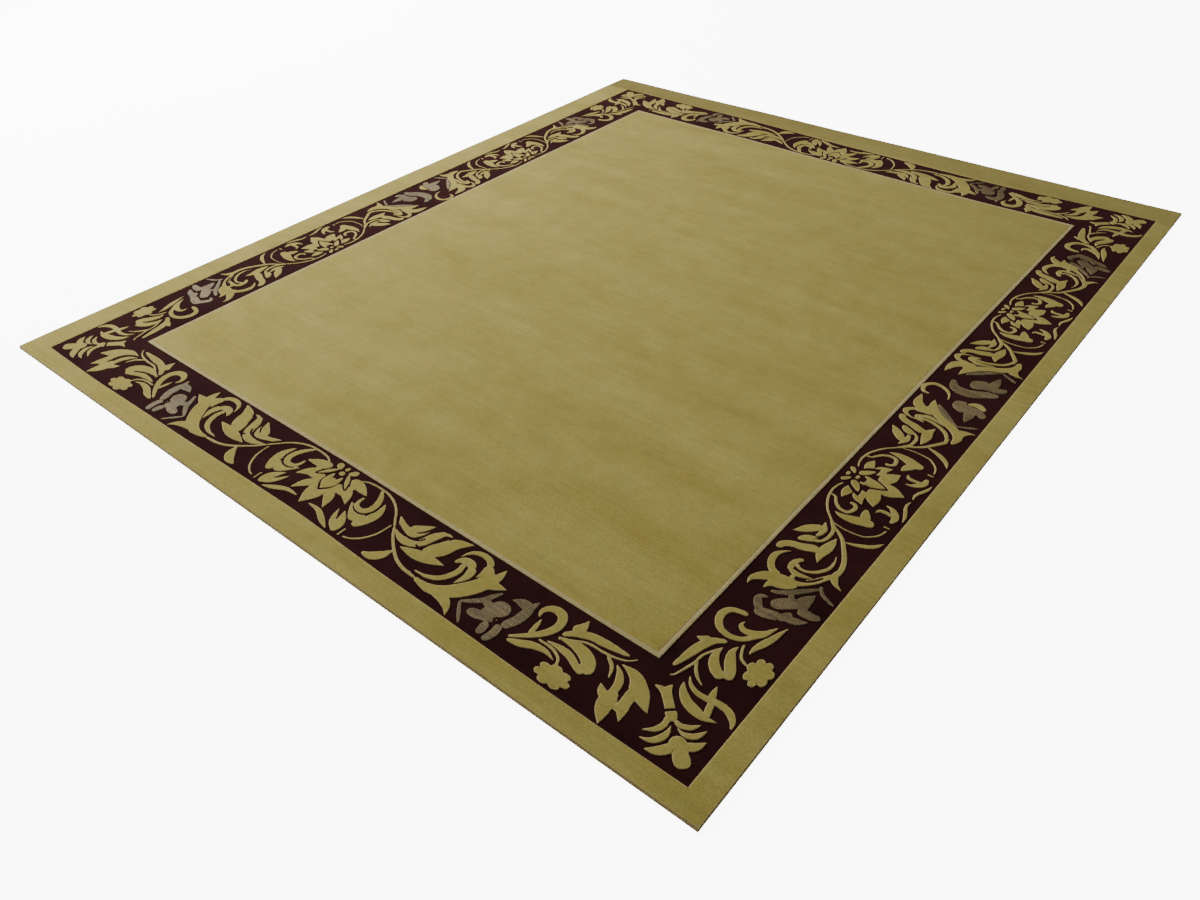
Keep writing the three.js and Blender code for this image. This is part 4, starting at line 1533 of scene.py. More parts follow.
class Wiring:
    """Places and joins the nodes of one tree."""

    def __init__(self, tree: bpy.types.NodeTree) -> None:
        """Keeps the tree.

        Args:
            tree: A node tree.
        """
        self.tree = tree

    def node(self, kind: str, inputs: dict | None = None, **settings: object) -> bpy.types.Node:
        """Places a node.

        Args:
            kind: Its type.
            inputs: A value or a socket for each of its inputs, by name or number.
            **settings: Its properties.

        Returns:
            The node.
        """
        node = self.tree.nodes.new(kind)
        for name, value in settings.items():
            setattr(node, name, value)
        for name, value in (inputs or {}).items():
            if isinstance(value, Socket):
                self.tree.links.new(value, node.inputs[name])
            else:
                node.inputs[name].default_value = value
        return node

    def math(self, operation: str, *values: object, clamp: bool = False) -> Socket:
        """Places a Math node and returns its result."""
        node = self.node("ShaderNodeMath", dict(enumerate(values)), operation=operation, use_clamp=clamp)
        return node.outputs[0]

    def plus(self, *values: object) -> Socket:
        """Adds two values and returns the sum."""
        return self.math("ADD", *values)

    def minus(self, *values: object) -> Socket:
        """Takes the second value from the first and returns the rest."""
        return self.math("SUBTRACT", *values)

    def times(self, *values: object) -> Socket:
        """Multiplies two values and returns the product."""
        return self.math("MULTIPLY", *values)

    def vector(self, operation: str, *values: object) -> Socket:
        """Places a Vector Math node and returns its result."""
        return self.node("ShaderNodeVectorMath", dict(enumerate(values)), operation=operation).outputs[0]

    def divided(self, vector: Socket, *sizes: object) -> Socket:
        """Divides a vector by three sizes and returns the result."""
        size = self.node("ShaderNodeCombineXYZ", dict(enumerate(sizes))).outputs[0]
        return self.vector("DIVIDE", vector, size)

    def noise(self, vector: Socket, scale: float, detail: float = 2.0,
              rough: float = 0.5) -> Socket:
        """Places a Noise Texture and returns its factor."""
        inputs = {"Vector": vector, "Scale": scale, "Detail": detail, "Roughness": rough}
        return self.node("ShaderNodeTexNoise", inputs).outputs["Fac"]

    def mapped(self, value: Socket, low: float, high: float, to_low: float,
               to_high: float) -> Socket:
        """Places a clamped Map Range node and returns its result."""
        inputs = {0: value, 1: low, 2: high, 3: to_low, 4: to_high}
        return self.node("ShaderNodeMapRange", inputs).outputs[0]

    def mix(self, factor: object, a: object, b: object, blend: str = "MIX") -> Socket:
        """Places a colour Mix node and returns its result."""
        node = self.node("ShaderNodeMix", {0: factor, 6: a, 7: b}, data_type="RGBA", blend_type=blend)
        return node.outputs[2]


class SharedEffects:
    """The node groups that the finishes share."""
    # Painted shade growing towards the back, and the last dye lot at the back end; both are strongest at the
    # left side and fade towards the right
    BACK_SHADE_ROWS = (-1190.0, -10.0)
    BACK_SHADE_SHARE = 0.30
    LAST_ROWS = (-25.0, 5.0)
    SIDES = (-1200.0, 1200.0)
    RIGHT_SHARE = 0.26

    def __init__(self) -> None:
        """Builds each group once."""
        self.rows = self._knot_rows()
        self.fibre = self._fibre()
        self.dye = self._dye_lots()

    @staticmethod
    def _group(name: str, inputs: dict, outputs: tuple) -> tuple:
        """Starts a group.

        Args:
            name: Its name.
            inputs: The default value of each input. A tuple makes a vector input.
            outputs: The names of its value outputs.

        Returns:
            The group, its wiring, its input node's outputs and its output node's inputs.
        """
        group = bpy.data.node_groups.new(name, "ShaderNodeTree")
        for title, value in inputs.items():
            kind = "NodeSocketVector" if isinstance(value, tuple) else "NodeSocketFloat"
            socket = group.interface.new_socket(title, in_out="INPUT", socket_type=kind)
            socket.default_value = value
        for title in outputs:
            group.interface.new_socket(title, in_out="OUTPUT", socket_type="NodeSocketFloat")
        wiring = Wiring(group)
        return group, wiring, wiring.node("NodeGroupInput").outputs, wiring.node("NodeGroupOutput").inputs

    def _knot_rows(self) -> bpy.types.NodeTree:
        """Rows of knots along X: a height, and a shade that changes from row to row.

        Returns:
            The group.
        """
        group, wire, given, out = self._group(
            "knot rows", {"Place": (0.0, 0.0, 0.0), "Row pitch": 5.0, "Knot pitch": 4.0, "Waver": 3.0},
            ("Height", "Shade"))
        drift = wire.noise(given["Place"], 0.011, 2.0)
        waver = wire.times(wire.minus(drift, 0.5), given["Waver"])
        axes = wire.node("ShaderNodeSeparateXYZ", {0: given["Place"]}).outputs
        down = wire.math("DIVIDE", wire.plus(axes["Y"], waver), given["Row pitch"])
        row = wire.math("FLOOR", down)
        ridge = wire.math("SINE", wire.times(wire.math("FRACT", down), math.pi))
        hand = wire.node("ShaderNodeTexWhiteNoise", {"W": row}, noise_dimensions="1D").outputs["Value"]
        offset = wire.times(row, 0.5)
        along = wire.plus(wire.math("DIVIDE", axes["X"], given["Knot pitch"]), offset)
        knot = wire.math("ABSOLUTE", wire.math("SINE", wire.times(along, math.pi)))
        rounded = wire.times(wire.math("POWER", ridge, 0.6), 0.75)
        height = wire.math("MULTIPLY_ADD", knot, 0.25, rounded)
        bunch = wire.noise(wire.vector("MULTIPLY", given["Place"], (0.006, 0.075, 0.0)), 1.0, 2.0)
        shade = wire.plus(wire.times(wire.minus(hand, 0.5), 0.6), wire.times(wire.minus(bunch, 0.5), 2.2))
        wire.tree.links.new(height, out["Height"])
        wire.tree.links.new(wire.math("MULTIPLY_ADD", shade, 0.5, 0.5), out["Shade"])
        return group

    def _fibre(self) -> bpy.types.NodeTree:
        """The ends of the cut pile: a height and a fleck.

        Returns:
            The group.
        """
        group, wire, given, out = self._group("cut pile", {"Place": (0.0, 0.0, 0.0), "Tuft": 3.0},
                                              ("Height", "Fleck"))
        scaled = wire.divided(given["Place"], given["Tuft"], given["Tuft"], given["Tuft"])
        cells = {"Vector": scaled, "Scale": 1.0, "Randomness": 0.9}
        tuft = wire.node("ShaderNodeTexVoronoi", cells).outputs[0]
        fine = wire.noise(scaled, 2.2, 3.0, 0.6)
        height = wire.plus(wire.times(wire.minus(0.9, tuft), 0.55), wire.times(fine, 0.5))
        fleck = wire.plus(wire.times(wire.noise(scaled, 0.55, 2.0), 0.6), wire.times(fine, 0.4))
        wire.tree.links.new(height, out["Height"])
        wire.tree.links.new(fleck, out["Fleck"])
        return group

    def _dye_lots(self) -> bpy.types.NodeTree:
        """Slow changes of tone: dyed bands along X, blotchy painted shade where the pile lies over, and a
        darker last dye lot at the back end, with painted shade growing towards the back left.

        Returns:
            The group.
        """
        group, wire, given, out = self._group(
            "dye lots", {"Place": (0.0, 0.0, 0.0), "Band": 150.0, "Blotch": 90.0, "Last lot": 1390.0},
            ("Tone", "Hue", "Lot and shade"))
        stretched = wire.vector("MULTIPLY", given["Place"], (0.18, 1.0, 0.0))
        bands = wire.noise(wire.divided(stretched, given["Band"], given["Band"], 1.0), 1.0, 3.0)
        # Painted shade: blotches lighter and darker where the pile lies over
        patches = wire.divided(given["Place"], given["Blotch"], given["Blotch"], 1.0)
        lay_shade = wire.noise(patches, 1.0, 3.0, 0.6)
        both = wire.plus(wire.times(bands, 0.55), wire.times(lay_shade, 0.45))
        wire.tree.links.new(wire.mapped(both, 0.3, 0.7, 0.0, 1.0), out["Tone"])
        mottle = wire.noise(patches, 2.6, 4.0, 0.65)
        wire.tree.links.new(wire.mapped(mottle, 0.3, 0.7, 0.0, 1.0), out["Hue"])
        axes = wire.node("ShaderNodeSeparateXYZ", {0: given["Place"]}).outputs
        row = wire.minus(axes["Y"], given["Last lot"])
        # Painted shade, growing towards the back and strongest at the left, under the last lot's step
        back_shade = wire.mapped(row, *self.BACK_SHADE_ROWS, 0.0, self.BACK_SHADE_SHARE)
        late = wire.plus(back_shade, wire.mapped(row, *self.LAST_ROWS, 0.0, 1 - self.BACK_SHADE_SHARE))
        lot = wire.times(late, wire.mapped(axes["X"], *self.SIDES, 1.0, self.RIGHT_SHARE))
        wire.tree.links.new(lot, out["Lot and shade"])
        return group


@dataclass(frozen=True)
class PileFinish:
    """The finish of cut pile: its tones, the painted highlight along its carved edges, its sheen and its
    relief.
    """
    yarn: Yarn
    deep: tuple
    pale: tuple
    # Painted highlight along the carved edges; for the dark ground a painted shade
    edge_highlight_and_shade: tuple
    edge_strength: float = 0.6
    edge_start: float = 0.4
    edge_reach: float = 3.6
    row_shade: float = 0.10
    # How much painted shade darkens the grooves between the rows of knots
    groove_shade: float = 0.14
    # The tufts' fleck of tone; on silk it is turned up to paint sparkle
    fleck_and_sparkle: float = 0.36
    tone_share: float = 1.0
    roughness: float = 0.95
    sheen: float = 0.05
    sheen_roughness: float = 0.45
    sheen_tint: tuple = (1.0, 1.0, 1.0)
    relief: float = 0.9
    # Painted sheen: light and dark streaks along X
    sheen_streaks: float = 0.0
    specular: float = 0.10
    metallic: float = 0.0
    darkest: float = 0.2
    back_zone: tuple = (1.8, 2.6)
    streak_scale: tuple = (0.05, 0.28, 0.0)

    def material(self, effects: SharedEffects) -> bpy.types.Material:
        """Builds the material.

        Args:
            effects: The shared node groups.

        Returns:
            The material.
        """
        material = bpy.data.materials.new(self.yarn.value)
        material.use_nodes = True
        wire = Wiring(material.node_tree)
        shader = material.node_tree.nodes["Principled BSDF"]
        place = wire.vector("SCALE", wire.node("ShaderNodeTexCoord").outputs["Object"])
        place.node.inputs["Scale"].default_value = 1 / MM
        rows = self._group(wire, effects.rows, place)
        fibre = self._group(wire, effects.fibre, place)
        dye = self._group(wire, effects.dye, place)
        level = self._level(wire, place, rows, fibre)
        wire.tree.links.new(self._colour(wire, level, dye), shader.inputs["Base Color"])
        height = self._height(wire, place, rows, fibre)
        bump = wire.node("ShaderNodeBump", {"Strength": 1.0, "Distance": self.relief * MM, "Height": height})
        wire.tree.links.new(bump.outputs[0], shader.inputs["Normal"])
        plain = {"Roughness": self.roughness, "Sheen Weight": self.sheen,
                 "Sheen Roughness": self.sheen_roughness, "Sheen Tint": (*self.sheen_tint, 1),
                 "Specular IOR Level": self.specular, "Metallic": self.metallic}
        for socket, value in plain.items():
            shader.inputs[socket].default_value = value
        return material

    def _level(self, wire: Wiring, place: Socket, rows: dict,
               fibre: dict) -> Socket:
        """Adds up how light or dark the pile is made by the rows, the tufts' flecks (painted sparkle on
        silk), streaky painted sheen, and painted shade in the grooves between rows.

        Args:
            wire: The material's wiring.
            place: The place on the rug in mm.
            rows: The outputs of the rows of knots.
            fibre: The outputs of the cut pile.

        Returns:
            The brightness, about 1.
        """
        def swing(value: Socket, middle: float, strength: float) -> Socket:
            """Returns how far a value is from its middle, times twice a strength."""
            return wire.times(wire.minus(value, middle), strength * 2)

        shade = wire.plus(swing(rows["Shade"], 0.5, self.row_shade),
                          swing(fibre["Fleck"], 0.5, self.fleck_and_sparkle))
        # Painted sheen: light and dark streaks along the rows
        if self.sheen_streaks:
            wide = wire.noise(wire.vector("MULTIPLY", place, self.streak_scale), 1.0, 3.0, 0.65)
            shade = wire.plus(shade, swing(wide, 0.5, self.sheen_streaks))
        # Painted shade: darker where the rows' relief dips between one row and the next
        line = swing(rows["Height"], 0.65, self.groove_shade)
        return wire.math("MAXIMUM", wire.plus(wire.plus(shade, line), 1.0), self.darkest)

    def _colour(self, wire: Wiring, level: Socket, dye: dict) -> Socket:
        """Mixes the colour of the pile.

        Args:
            wire: The material's wiring.
            level: Its brightness.
            dye: The outputs of the dye lots.

        Returns:
            The colour.
        """
        tone = wire.times(dye["Tone"], self.tone_share)
        colour = wire.mix(tone, (*self.deep, 1), (*self.pale, 1))
        # Painted highlight along each carved edge, fading with the distance from it
        edge = wire.node("ShaderNodeAttribute", attribute_name="edge").outputs["Fac"]
        rim = wire.mapped(edge, self.edge_start, self.edge_reach, self.edge_strength, 0.0)
        colour = wire.mix(rim, colour, (*self.edge_highlight_and_shade, 1))
        grey = wire.node("ShaderNodeCombineColor", {0: level, 1: level, 2: level}).outputs[0]
        for tint in (grey, wire.mix(dye["Hue"], COOL, WARM), wire.mix(dye["Lot and shade"], PLAIN_LOT, DARK_LOT_AND_SHADE)):
            colour = wire.mix(1.0, colour, tint, "MULTIPLY")
        return colour

    def _height(self, wire: Wiring, place: Socket, rows: dict, fibre: dict) -> Socket:
        """Gives the relief: rows and tufts on the pile, and the rows alone on the back.

        Args:
            wire: The material's wiring.
            place: The place on the rug in mm.
            rows: The outputs of the rows of knots.
            fibre: The outputs of the cut pile.

        Returns:
            The height for the bump.
        """
        above = wire.node("ShaderNodeSeparateXYZ", {0: place}).outputs["Z"]
        back = wire.mapped(above, *self.back_zone, 1.0, 0.0)
        pile = wire.plus(wire.times(rows["Height"], 0.5),
                         wire.times(fibre["Height"], 0.5))
        on_back = wire.times(rows["Height"], back)
        return wire.plus(on_back, wire.times(pile, wire.minus(1.0, back)))

    @staticmethod
    def _group(wire: Wiring, tree: bpy.types.NodeTree, place: Socket) -> dict:
        """Places a shared group.

        Args:
            wire: The material's wiring.
            tree: The group.
            place: The place on the rug in mm.

        Returns:
            Its outputs, by name.
        """
        node = wire.node("ShaderNodeGroup", node_tree=tree)
        wire.tree.links.new(place, node.inputs["Place"])
        return node.outputs


# Tints that the wool varies between, and the tint of the last dye lot, which also paints shade towards the
# back left
COOL = (0.965, 1.015, 1.04, 1)
WARM = (1.04, 0.985, 0.92, 1)
PLAIN_LOT = (1, 1, 1, 1)
DARK_LOT_AND_SHADE = (0.52, 0.50, 0.47, 1)

FINISHES = (
    # The third colour of each is the painted highlight along its carved edges; the dark ground's is a painted
    # shade, unused where the edge strength is 0
    PileFinish(Yarn.GOLD, (0.290, 0.232, 0.050), (0.388, 0.330, 0.092), (0.52, 0.40, 0.20),
               edge_strength=0.50),
    PileFinish(Yarn.CREAM, (0.38, 0.315, 0.14), (0.44, 0.37, 0.17), (0.46, 0.38, 0.19), edge_strength=0.2),
    PileFinish(Yarn.BURGUNDY, (0.0155, 0.0048, 0.0047), (0.034, 0.0102, 0.0102), (0.008, 0.003, 0.002),
               edge_strength=0.0, sheen=0.10, sheen_tint=(0.50, 0.17, 0.18), row_shade=0.15, groove_shade=0.20,
               fleck_and_sparkle=0.30, specular=0.02),
    # Silk: its strong fleck is painted sparkle, and its streaky tone is painted sheen
    PileFinish(Yarn.SILK, (0.092, 0.067, 0.028), (0.220, 0.168, 0.086), (0.24, 0.21, 0.13), edge_strength=0.2,
               roughness=0.60, sheen=0.0, specular=0.12, metallic=0.10, sheen_streaks=0.45, relief=1.6,
               row_shade=0.45, groove_shade=0.90, fleck_and_sparkle=0.90),
    PileFinish(Yarn.FOUNDATION, (0.36, 0.31, 0.19), (0.46, 0.40, 0.26), (0.42, 0.36, 0.23), edge_strength=0.0,
               row_shade=0.3, groove_shade=0.3, relief=1.2, sheen=0.05),
)


# The rug's parts

@dataclass
class Border:
    """The carved border: its dark ground, its leaves and its silk flowers."""
    plan: Plan
    ground_cut: Cut = Cut(10.0, 0.0, 1.2)
    leaf_cut: Cut = Cut(12.0, 0.9, 1.2)
    silk_cut: Cut = Cut(11.7, 0.9, 1.2)
    ends_share: float = 0.8

    def build(self) -> dict:
        """Builds the border.

        Returns:
            The pieces of each yarn.
        """
        drawing = BorderDrawing()
        short_run = drawing.outer_run(SHORT_RUN)
        long_run = drawing.outer_run(LONG_RUN)
        pair = drawing.inner_pair()
        solids = {
            Area.GROUND: PileSolid("ground_pile", Yarn.BURGUNDY, self.ground_cut, self.plan),
            Area.LEAF: PileSolid("leaf_pile", Yarn.GOLD, self.leaf_cut, self.plan),
            Area.SILK: PileSolid("silk_pile", Yarn.SILK, self.silk_cut, self.plan),
        }
        for area, solid in solids.items():
            for lotus in self.plan.lotuses:
                run = long_run if lotus.way else short_run
                for way in (lotus.way,) if lotus.way else (-1, 1):
                    solid.add(run.fine, run.plain, area,
                              lambda drawn, l=lotus, w=way: self.plan.run_points(l, w, drawn))
            for side in (Side.RIGHT, Side.LEFT):
                ends = [lotus for lotus in self.plan.lotuses if lotus.side is side]
                closed, open_end = ends[::-1] if side is Side.RIGHT else ends
                solid.add(pair.fine, pair.plain, area,
                          lambda drawn, c=closed, o=open_end: self.plan.pair_points(c, o, drawn))
        return {
            Yarn.BURGUNDY: [solids[Area.GROUND].build()],
            Yarn.SILK: [solids[Area.SILK].build()],
            Yarn.GOLD: [solids[Area.LEAF].build(self._at_ends, "_ends"),
                        solids[Area.LEAF].build(lambda middles: ~self._at_ends(middles), "_sides")],
        }

    def _at_ends(self, middles: np.ndarray) -> np.ndarray:
        """Tells which places belong to the short sides, from the middle of the rug."""
        return np.abs(middles[:, 1]) * self.ends_share > np.abs(middles[:, 0])


@dataclass
class PlainPile:
    """The plain pile: the field, the cream guard line round it and the outer margin."""
    plan: Plan
    guard: float = 9.0
    cut_line: float = 1.0
    cut: Cut = Cut(12.0, 0.6, 1.1)
    rim_cut: Cut = Cut(12.0, 0.9, 1.1)
    rings: tuple = ((1.2, 9.0), (3.8, 11.0))
    reach: float = 10.0
    field_fill: float = 26.0
    margin_fill: float = 16.0

    def build(self) -> dict:
        """Builds the plain pile.

        Returns:
            The pieces of each yarn.
        """
        middle = self.guard + self.cut_line / 2
        field_edge = self.plan.rectangle(1, middle)
        guard_edge = self.plan.rectangle(1)
        band_edge = self.plan.rectangle(0)
        rim = self.plan.outline(0.0)
        inside = self._solid("field_pile", Yarn.GOLD, (field_edge,), self.field_fill, self.cut)
        outside = self._solid("margin_pile", Yarn.GOLD, (rim, band_edge), self.margin_fill, self.rim_cut)
        line = self._solid("guard_line", Yarn.CREAM, (guard_edge, field_edge), 0.0, self.cut)
        return {Yarn.GOLD: [inside, outside], Yarn.CREAM: [line]}

    def _solid(self, name: str, yarn: Yarn, loops: tuple, fill: float, cut: Cut) -> bpy.types.Object:
        """Builds one plain area.

        Args:
            name: The piece's name.
            yarn: Its yarn.
            loops: Its outer edge, and its inner edge where it has one, both anticlockwise.
            fill: The spacing of the points inside it.
            cut: How its top is cut.

        Returns:
            The piece.
        """
        edges = [Edge(loops[0], Area.PLAIN, Area.OUTSIDE)]
        edges += [Edge(loop, Area.OUTSIDE, Area.PLAIN) for loop in loops[1:]]
        tiler = Tiler(edges, Domain(), self.rings, fill, self.reach)
        solid = PileSolid(name, yarn, cut, self.plan)
        solid.add(tiler.tile(), tiler.tile(plain=True), Area.PLAIN)
        return solid.build()


# The cloth under the pile and its edges

@dataclass
class Foundation:
    """The woven foundation that carries the pile, and its two ends, turned under and stitched down."""
    plan: Plan
    bottom: float = 1.5
    top: float = 5.2
    inset: float = 0.6
    rings: tuple = ((24.0, 60.0),)
    fill: float = 180.0
    turned_width: float = 36.0
    turned_top: float = 1.3
    turned_inset: float = 6.0
    stitch_spacing: float = 11.0
    stitch_size: tuple = (0.9, 3.4, 0.7)
    stitch_inset: float = 4.0
    stitch_height: float = 0.75

    def build(self) -> list:
        """Builds the foundation and its turned ends.

        Returns:
            The pieces, the foundation first.
        """
        rim = self.plan.outline(self.inset)
        edge = Edge(rim, Area.PLAIN, Area.OUTSIDE)
        tiles = Tiler([edge], Domain(), self.rings, self.fill, self.fill / 2).tile()
        pieces = [self._slab("foundation", tiles, self.bottom, self.top)]
        for name, way in (("turned_end_front", -1), ("turned_end_back", 1)):
            pieces.append(self._turned_end(name, way))
        return pieces

    def _slab(self, name: str, tiles: Tiles, bottom: float, top: float) -> bpy.types.Object:
        """Makes a flat slab of cloth.

        Args:
            name: The piece's name.
            tiles: Its triangles seen from above.
            bottom: The height of its underside.
            top: The height of its upper side.

        Returns:
            The piece.
        """
        upper = np.c_[tiles.points, np.full(len(tiles.points), top)]
        return closed_solid(name, upper, (tiles.faces, tiles.faces), bottom)

    def _turned_end(self, name: str, way: int) -> bpy.types.Object:
        """Makes one end of the foundation, turned under.

        Args:
            name: The piece's name.
            way: -1 for the front end and 1 for the back end.

        Returns:
            The piece.
        """
        front, back = self.fold_line(way, 0.0), self.fold_line(way, self.turned_width)
        loop = np.vstack([front, back[::-1]])
        loop = loop if way < 0 else loop[::-1]
        tiles = Tiler([Edge(loop, Area.PLAIN, Area.OUTSIDE, carved=False)], Domain(), (), 0.0).tile()
        return self._slab(name, tiles, 0.0, self.turned_top)

    def fold_line(self, way: int, further: float) -> np.ndarray:
        """Follows a short side at a distance.

        Args:
            way: -1 for the front side and 1 for the back side.
            further: How far in from the fold, in mm.

        Returns:
            The points from left to right.
        """
        rim = self.plan.outline(self.turned_inset)
        quarter = len(rim) // 4
        side = rim[:quarter + 1] if way < 0 else rim[2 * quarter:3 * quarter + 1][::-1]
        return side - (0, way * further)


class PathCopies:
    """Sets copies of a small rounded form along a path, with a node tree."""

    def __init__(self) -> None:
        """Builds the node tree."""
        self.tree = bpy.data.node_groups.new("copies along a path", "GeometryNodeTree")
        self.inputs = {}
        sockets = (("Geometry", "Geometry"), ("Spacing", "Float"), ("Size", "Vector"),
                   ("Unevenness", "Float"), ("Lean", "Float"), ("Segments", "Int"), ("Rings", "Int"),
                   ("Seed", "Int"), ("Finish", "Material"))
        for title, kind in sockets:
            socket = self.tree.interface.new_socket(title, in_out="INPUT", socket_type="NodeSocket" + kind)
            self.inputs[title] = socket.identifier
        self.tree.interface.new_socket("Geometry", in_out="OUTPUT", socket_type="NodeSocketGeometry")
        self._wire()

    def _wire(self) -> None:
        """Places and joins the tree's nodes."""
        wire = Wiring(self.tree)
        given = wire.node("NodeGroupInput").outputs
        curve = wire.node("GeometryNodeMeshToCurve", {"Mesh": given["Geometry"]}).outputs["Curve"]
        points = wire.node("GeometryNodeCurveToPoints", {"Curve": curve, "Length": given["Spacing"]},
                           mode="LENGTH")
        turn = wire.node("FunctionNodeAlignRotationToVector", {"Vector": points.outputs["Tangent"]}, axis="Y",
                         pivot_axis="Z").outputs["Rotation"]
        lean = wire.node("FunctionNodeRandomValue", {"Seed": given["Seed"]}, data_type="FLOAT_VECTOR")
        lean.inputs["Min"].default_value = (-1, -1, -1)
        leaning = wire.node("ShaderNodeVectorMath", {0: lean.outputs["Value"]}, operation="SCALE")
        self.tree.links.new(given["Lean"], leaning.inputs["Scale"])
        turn = wire.node("FunctionNodeRotateRotation", {"Rotation": turn, "Rotate By": leaning.outputs[0]},
                         rotation_space="LOCAL").outputs["Rotation"]
        uneven = wire.node("FunctionNodeRandomValue", {"Seed": given["Seed"]}, data_type="FLOAT").outputs[1]
        factor = wire.minus(1.0, wire.times(uneven, given["Unevenness"]))
        size = wire.node("ShaderNodeVectorMath", {0: given["Size"]}, operation="SCALE")
        self.tree.links.new(factor, size.inputs["Scale"])
        form = wire.node("GeometryNodeMeshUVSphere", {"Segments": given["Segments"], "Rings": given["Rings"],
                                                      "Radius": 1.0}).outputs["Mesh"]
        copies = wire.node("GeometryNodeInstanceOnPoints", {
            "Points": points.outputs["Points"], "Instance": form, "Rotation": turn, "Scale": size.outputs[0]})
        real = wire.node("GeometryNodeRealizeInstances", {"Geometry": copies.outputs["Instances"]})
        smooth = wire.node("GeometryNodeSetShadeSmooth", {"Geometry": real.outputs["Geometry"]})
        done = wire.node("GeometryNodeSetMaterial",
                         {"Geometry": smooth.outputs[0], "Material": given["Finish"]})
        end = wire.node("NodeGroupOutput")
        self.tree.links.new(done.outputs["Geometry"], end.inputs["Geometry"])

    def build(self, name: str, paths: list, **values: object) -> bpy.types.Object:
        """Sets the copies.

        Args:
            name: The piece's name.
            paths: The paths, each N by 3 points in mm.
            **values: The node tree's inputs.

        Returns:
            The piece, as a plain mesh.
        """
        mesh = bpy.data.meshes.new(name + "_path")
        points = np.vstack(paths) * MM
        starts = np.cumsum([0] + [len(path) for path in paths])
        edges = [(i, i + 1) for a, b in zip(starts, starts[1:]) for i in range(a, b - 1)]
        mesh.from_pydata(points.tolist(), edges, [])
        piece = bpy.data.objects.new(name, mesh)
        bpy.context.scene.collection.objects.link(piece)
        modifier = piece.modifiers.new("copies", "NODES")
        modifier.node_group = self.tree
        for title, value in values.items():
            modifier[self.inputs[title]] = value
        graph = bpy.context.evaluated_depsgraph_get()
        made = bpy.data.meshes.new_from_object(piece.evaluated_get(graph))
        piece.modifiers.clear()
        piece.data = made
        made.name = name
        return piece


@dataclass
class Edging:
    """What shows along the edges: the overcast sides, the outer row of tufts and the hem stitches."""
    plan: Plan
    foundation: Foundation
    wrap_spacing: float = 4.3
    wrap_size: tuple = (2.3, 2.4, 3.3)
    wrap_inset: float = 1.5
    wrap_height: float = 3.5
    tuft_spacing: float = 3.6
    tuft_size: tuple = (1.7, 1.9, 2.3)
    tuft_inset: float = 2.3
    tuft_height: float = 8.4

    def build(self, gold: bpy.types.Material, cotton: bpy.types.Material) -> dict:
        """Builds the edging.

        Args:
            gold: The material of the wool.
            cotton: The material of the foundation.

        Returns:
            The pieces of each yarn.
        """
        copies = PathCopies()
        sides = self.plan.outline(self.wrap_inset)
        quarter = len(sides) // 4
        closed = np.vstack([sides, sides[:1]])
        wraps = [self._raised(closed[k * quarter:(k + 1) * quarter + 1], self.wrap_height) for k in (1, 3)]
        rim = self.plan.outline(self.tuft_inset)
        tufts = [self._raised(np.vstack([rim, rim[:1]]), self.tuft_height)]
        cloth = self.foundation
        seams = [cloth.fold_line(way, cloth.turned_width - cloth.stitch_inset) for way in (-1, 1)]
        hems = [self._raised(seam, cloth.stitch_height) for seam in seams]
        wrapped = copies.build(
            "overcast_sides", wraps, Spacing=self.wrap_spacing * MM, Size=self._metres(self.wrap_size),
            Unevenness=0.06, Lean=0.06, Segments=8, Rings=4, Seed=3, Finish=gold)
        tufted = copies.build(
            "rim_tufts", tufts, Spacing=self.tuft_spacing * MM, Size=self._metres(self.tuft_size),
            Unevenness=0.15, Lean=0.20, Segments=6, Rings=4, Seed=8, Finish=gold)
        sewn = copies.build(
            "hem_stitches", hems, Spacing=cloth.stitch_spacing * MM, Size=self._metres(cloth.stitch_size),
            Unevenness=0.2, Lean=0.15, Segments=6, Rings=4, Seed=5, Finish=cotton)
        return {Yarn.GOLD: [wrapped, tufted], Yarn.FOUNDATION: [sewn]}

    @staticmethod
    def _raised(path: np.ndarray, height: float) -> np.ndarray:
        """Puts a flat path at a height."""
        return np.c_[path, np.full(len(path), height)]

    @staticmethod
    def _metres(size: tuple) -> tuple:
        """Turns a size in mm into metres."""
        return tuple(value * MM for value in size)


# The picture

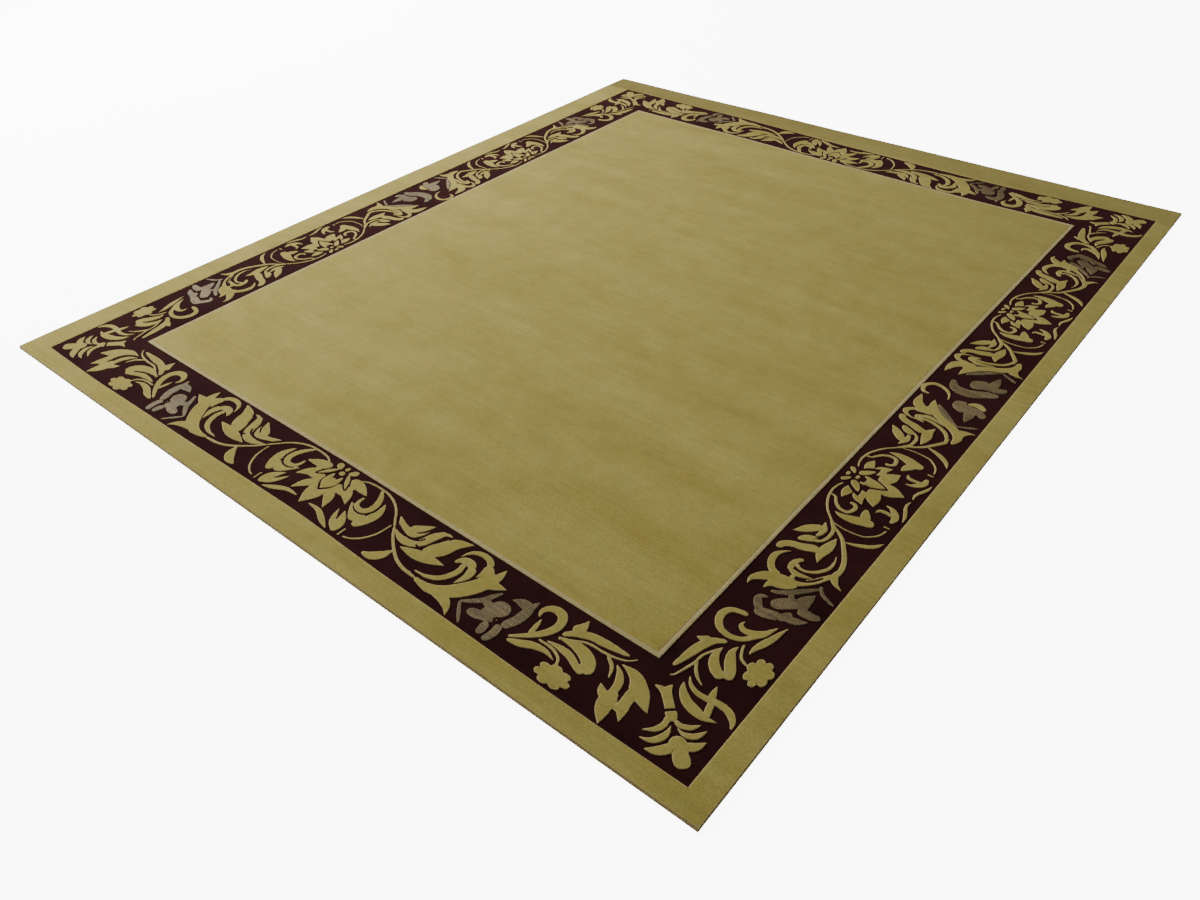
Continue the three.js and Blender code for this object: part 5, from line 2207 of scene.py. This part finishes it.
@dataclass
class Studio:
    """The floor, the light and the camera of the photograph."""
    eye: tuple = (1.62700, -2.34845, 1.55301)
    right: tuple = (0.75607, 0.65413, -0.02157)
    down: tuple = (0.39662, -0.48416, -0.77993)
    forward: tuple = (-0.52062, 0.58112, -0.62550)
    sensor: float = 36.0
    lens: float = 29.2
    shift: tuple = (0.049, 0.0006)
    floor_half: float = 14.0
    floor_grey: float = 0.93
    window: tuple = (-4.8, 0.45, 2.9)
    window_size: tuple = (5.6, 2.2)
    window_power: float = 650.0
    window_aim: tuple = (0, 0.6, 0)
    sky: float = 0.19
    floor_glow: float = 9.0

    def build(self) -> None:
        """Builds all of it."""
        self._camera()
        self._floor()
        self._light()

    def _camera(self) -> None:
        """Sets the camera where the photograph was taken from."""
        data = bpy.data.cameras.new("photo_view")
        data.sensor_width = self.sensor
        data.lens = self.lens
        data.shift_x, data.shift_y = self.shift
        camera = bpy.data.objects.new("photo_view", data)
        bpy.context.scene.collection.objects.link(camera)
        axes = Matrix((self.right, [-v for v in self.down], [-v for v in self.forward])).transposed()
        camera.matrix_world = Matrix.Translation(self.eye) @ axes.to_4x4()
        bpy.context.scene.camera = camera

    def _floor(self) -> None:
        """Lays a plain pale floor."""
        half = self.floor_half
        mesh = bpy.data.meshes.new("floor")
        corners = [(-half, -half, 0), (half, -half, 0), (half, half, 0), (-half, half, 0)]
        mesh.from_pydata(corners, [], [(0, 1, 2, 3)])
        floor = bpy.data.objects.new("floor", mesh)
        bpy.context.scene.collection.objects.link(floor)
        material = bpy.data.materials.new("floor")
        material.use_nodes = True
        shader = material.node_tree.nodes["Principled BSDF"]
        shader.inputs["Base Color"].default_value = (*[self.floor_grey] * 3, 1)
        shader.inputs["Emission Color"].default_value = (1, 1, 1, 1)
        wire = Wiring(material.node_tree)
        seen = wire.node("ShaderNodeLightPath").outputs["Is Camera Ray"]
        wire.tree.links.new(wire.times(seen, self.floor_glow), shader.inputs["Emission Strength"])
        shader.inputs["Roughness"].default_value = 1.0
        shader.inputs["Specular IOR Level"].default_value = 0.0
        mesh.materials.append(material)

    def _light(self) -> None:
        """Hangs one large soft light at the back left, under an even sky."""
        data = bpy.data.lights.new("window", "AREA")
        data.shape = "RECTANGLE"
        data.size, data.size_y = self.window_size
        data.energy = self.window_power
        lamp = bpy.data.objects.new("window", data)
        lamp.location = self.window
        aim = Vector(self.window_aim) - Vector(self.window)
        lamp.rotation_euler = aim.to_track_quat("-Z", "Y").to_euler()
        bpy.context.scene.collection.objects.link(lamp)
        world = bpy.data.worlds.new("sky")
        world.use_nodes = True
        world.node_tree.nodes["Background"].inputs["Color"].default_value = (1, 1, 1, 1)
        world.node_tree.nodes["Background"].inputs["Strength"].default_value = self.sky
        bpy.context.scene.world = world


# Putting it together

def dress(pieces: list, material: bpy.types.Material, yarn: Yarn) -> None:
    """Gives pieces their finish and puts them on the rug's body.

    Args:
        pieces: The pieces.
        material: Their material.
        yarn: Their yarn.
    """
    for piece in pieces:
        piece.data.materials.clear()
        piece.data.materials.append(material)
        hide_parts(NODE)
        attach(piece, "root")
        LOG.info("%s: %d faces of %s", piece.name, len(piece.data.polygons), yarn.value)


def triangles_of(piece: bpy.types.Object) -> int:
    """Returns how many triangles a piece has."""
    return sum(len(face.vertices) - 2 for face in piece.data.polygons)


def main() -> None:
    """Builds the rug and its picture."""
    logging.basicConfig(level=logging.INFO, format="%(name)s: %(message)s")
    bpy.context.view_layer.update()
    plan = Plan()
    effects = SharedEffects()
    materials = {finish.yarn: finish.material(effects) for finish in FINISHES}
    foundation = Foundation(plan)
    cloth = foundation.build()
    edging = Edging(plan, foundation).build(materials[Yarn.GOLD], materials[Yarn.FOUNDATION])
    made = []
    for group in ({Yarn.FOUNDATION: cloth}, Border(plan).build(), PlainPile(plan).build(), edging):
        for yarn, pieces in group.items():
            dress(pieces, materials[yarn], yarn)
            made += pieces
    Studio().build()
    LOG.info("%d triangles in all", sum(triangles_of(piece) for piece in made))


if __name__ == "__main__":
    main()
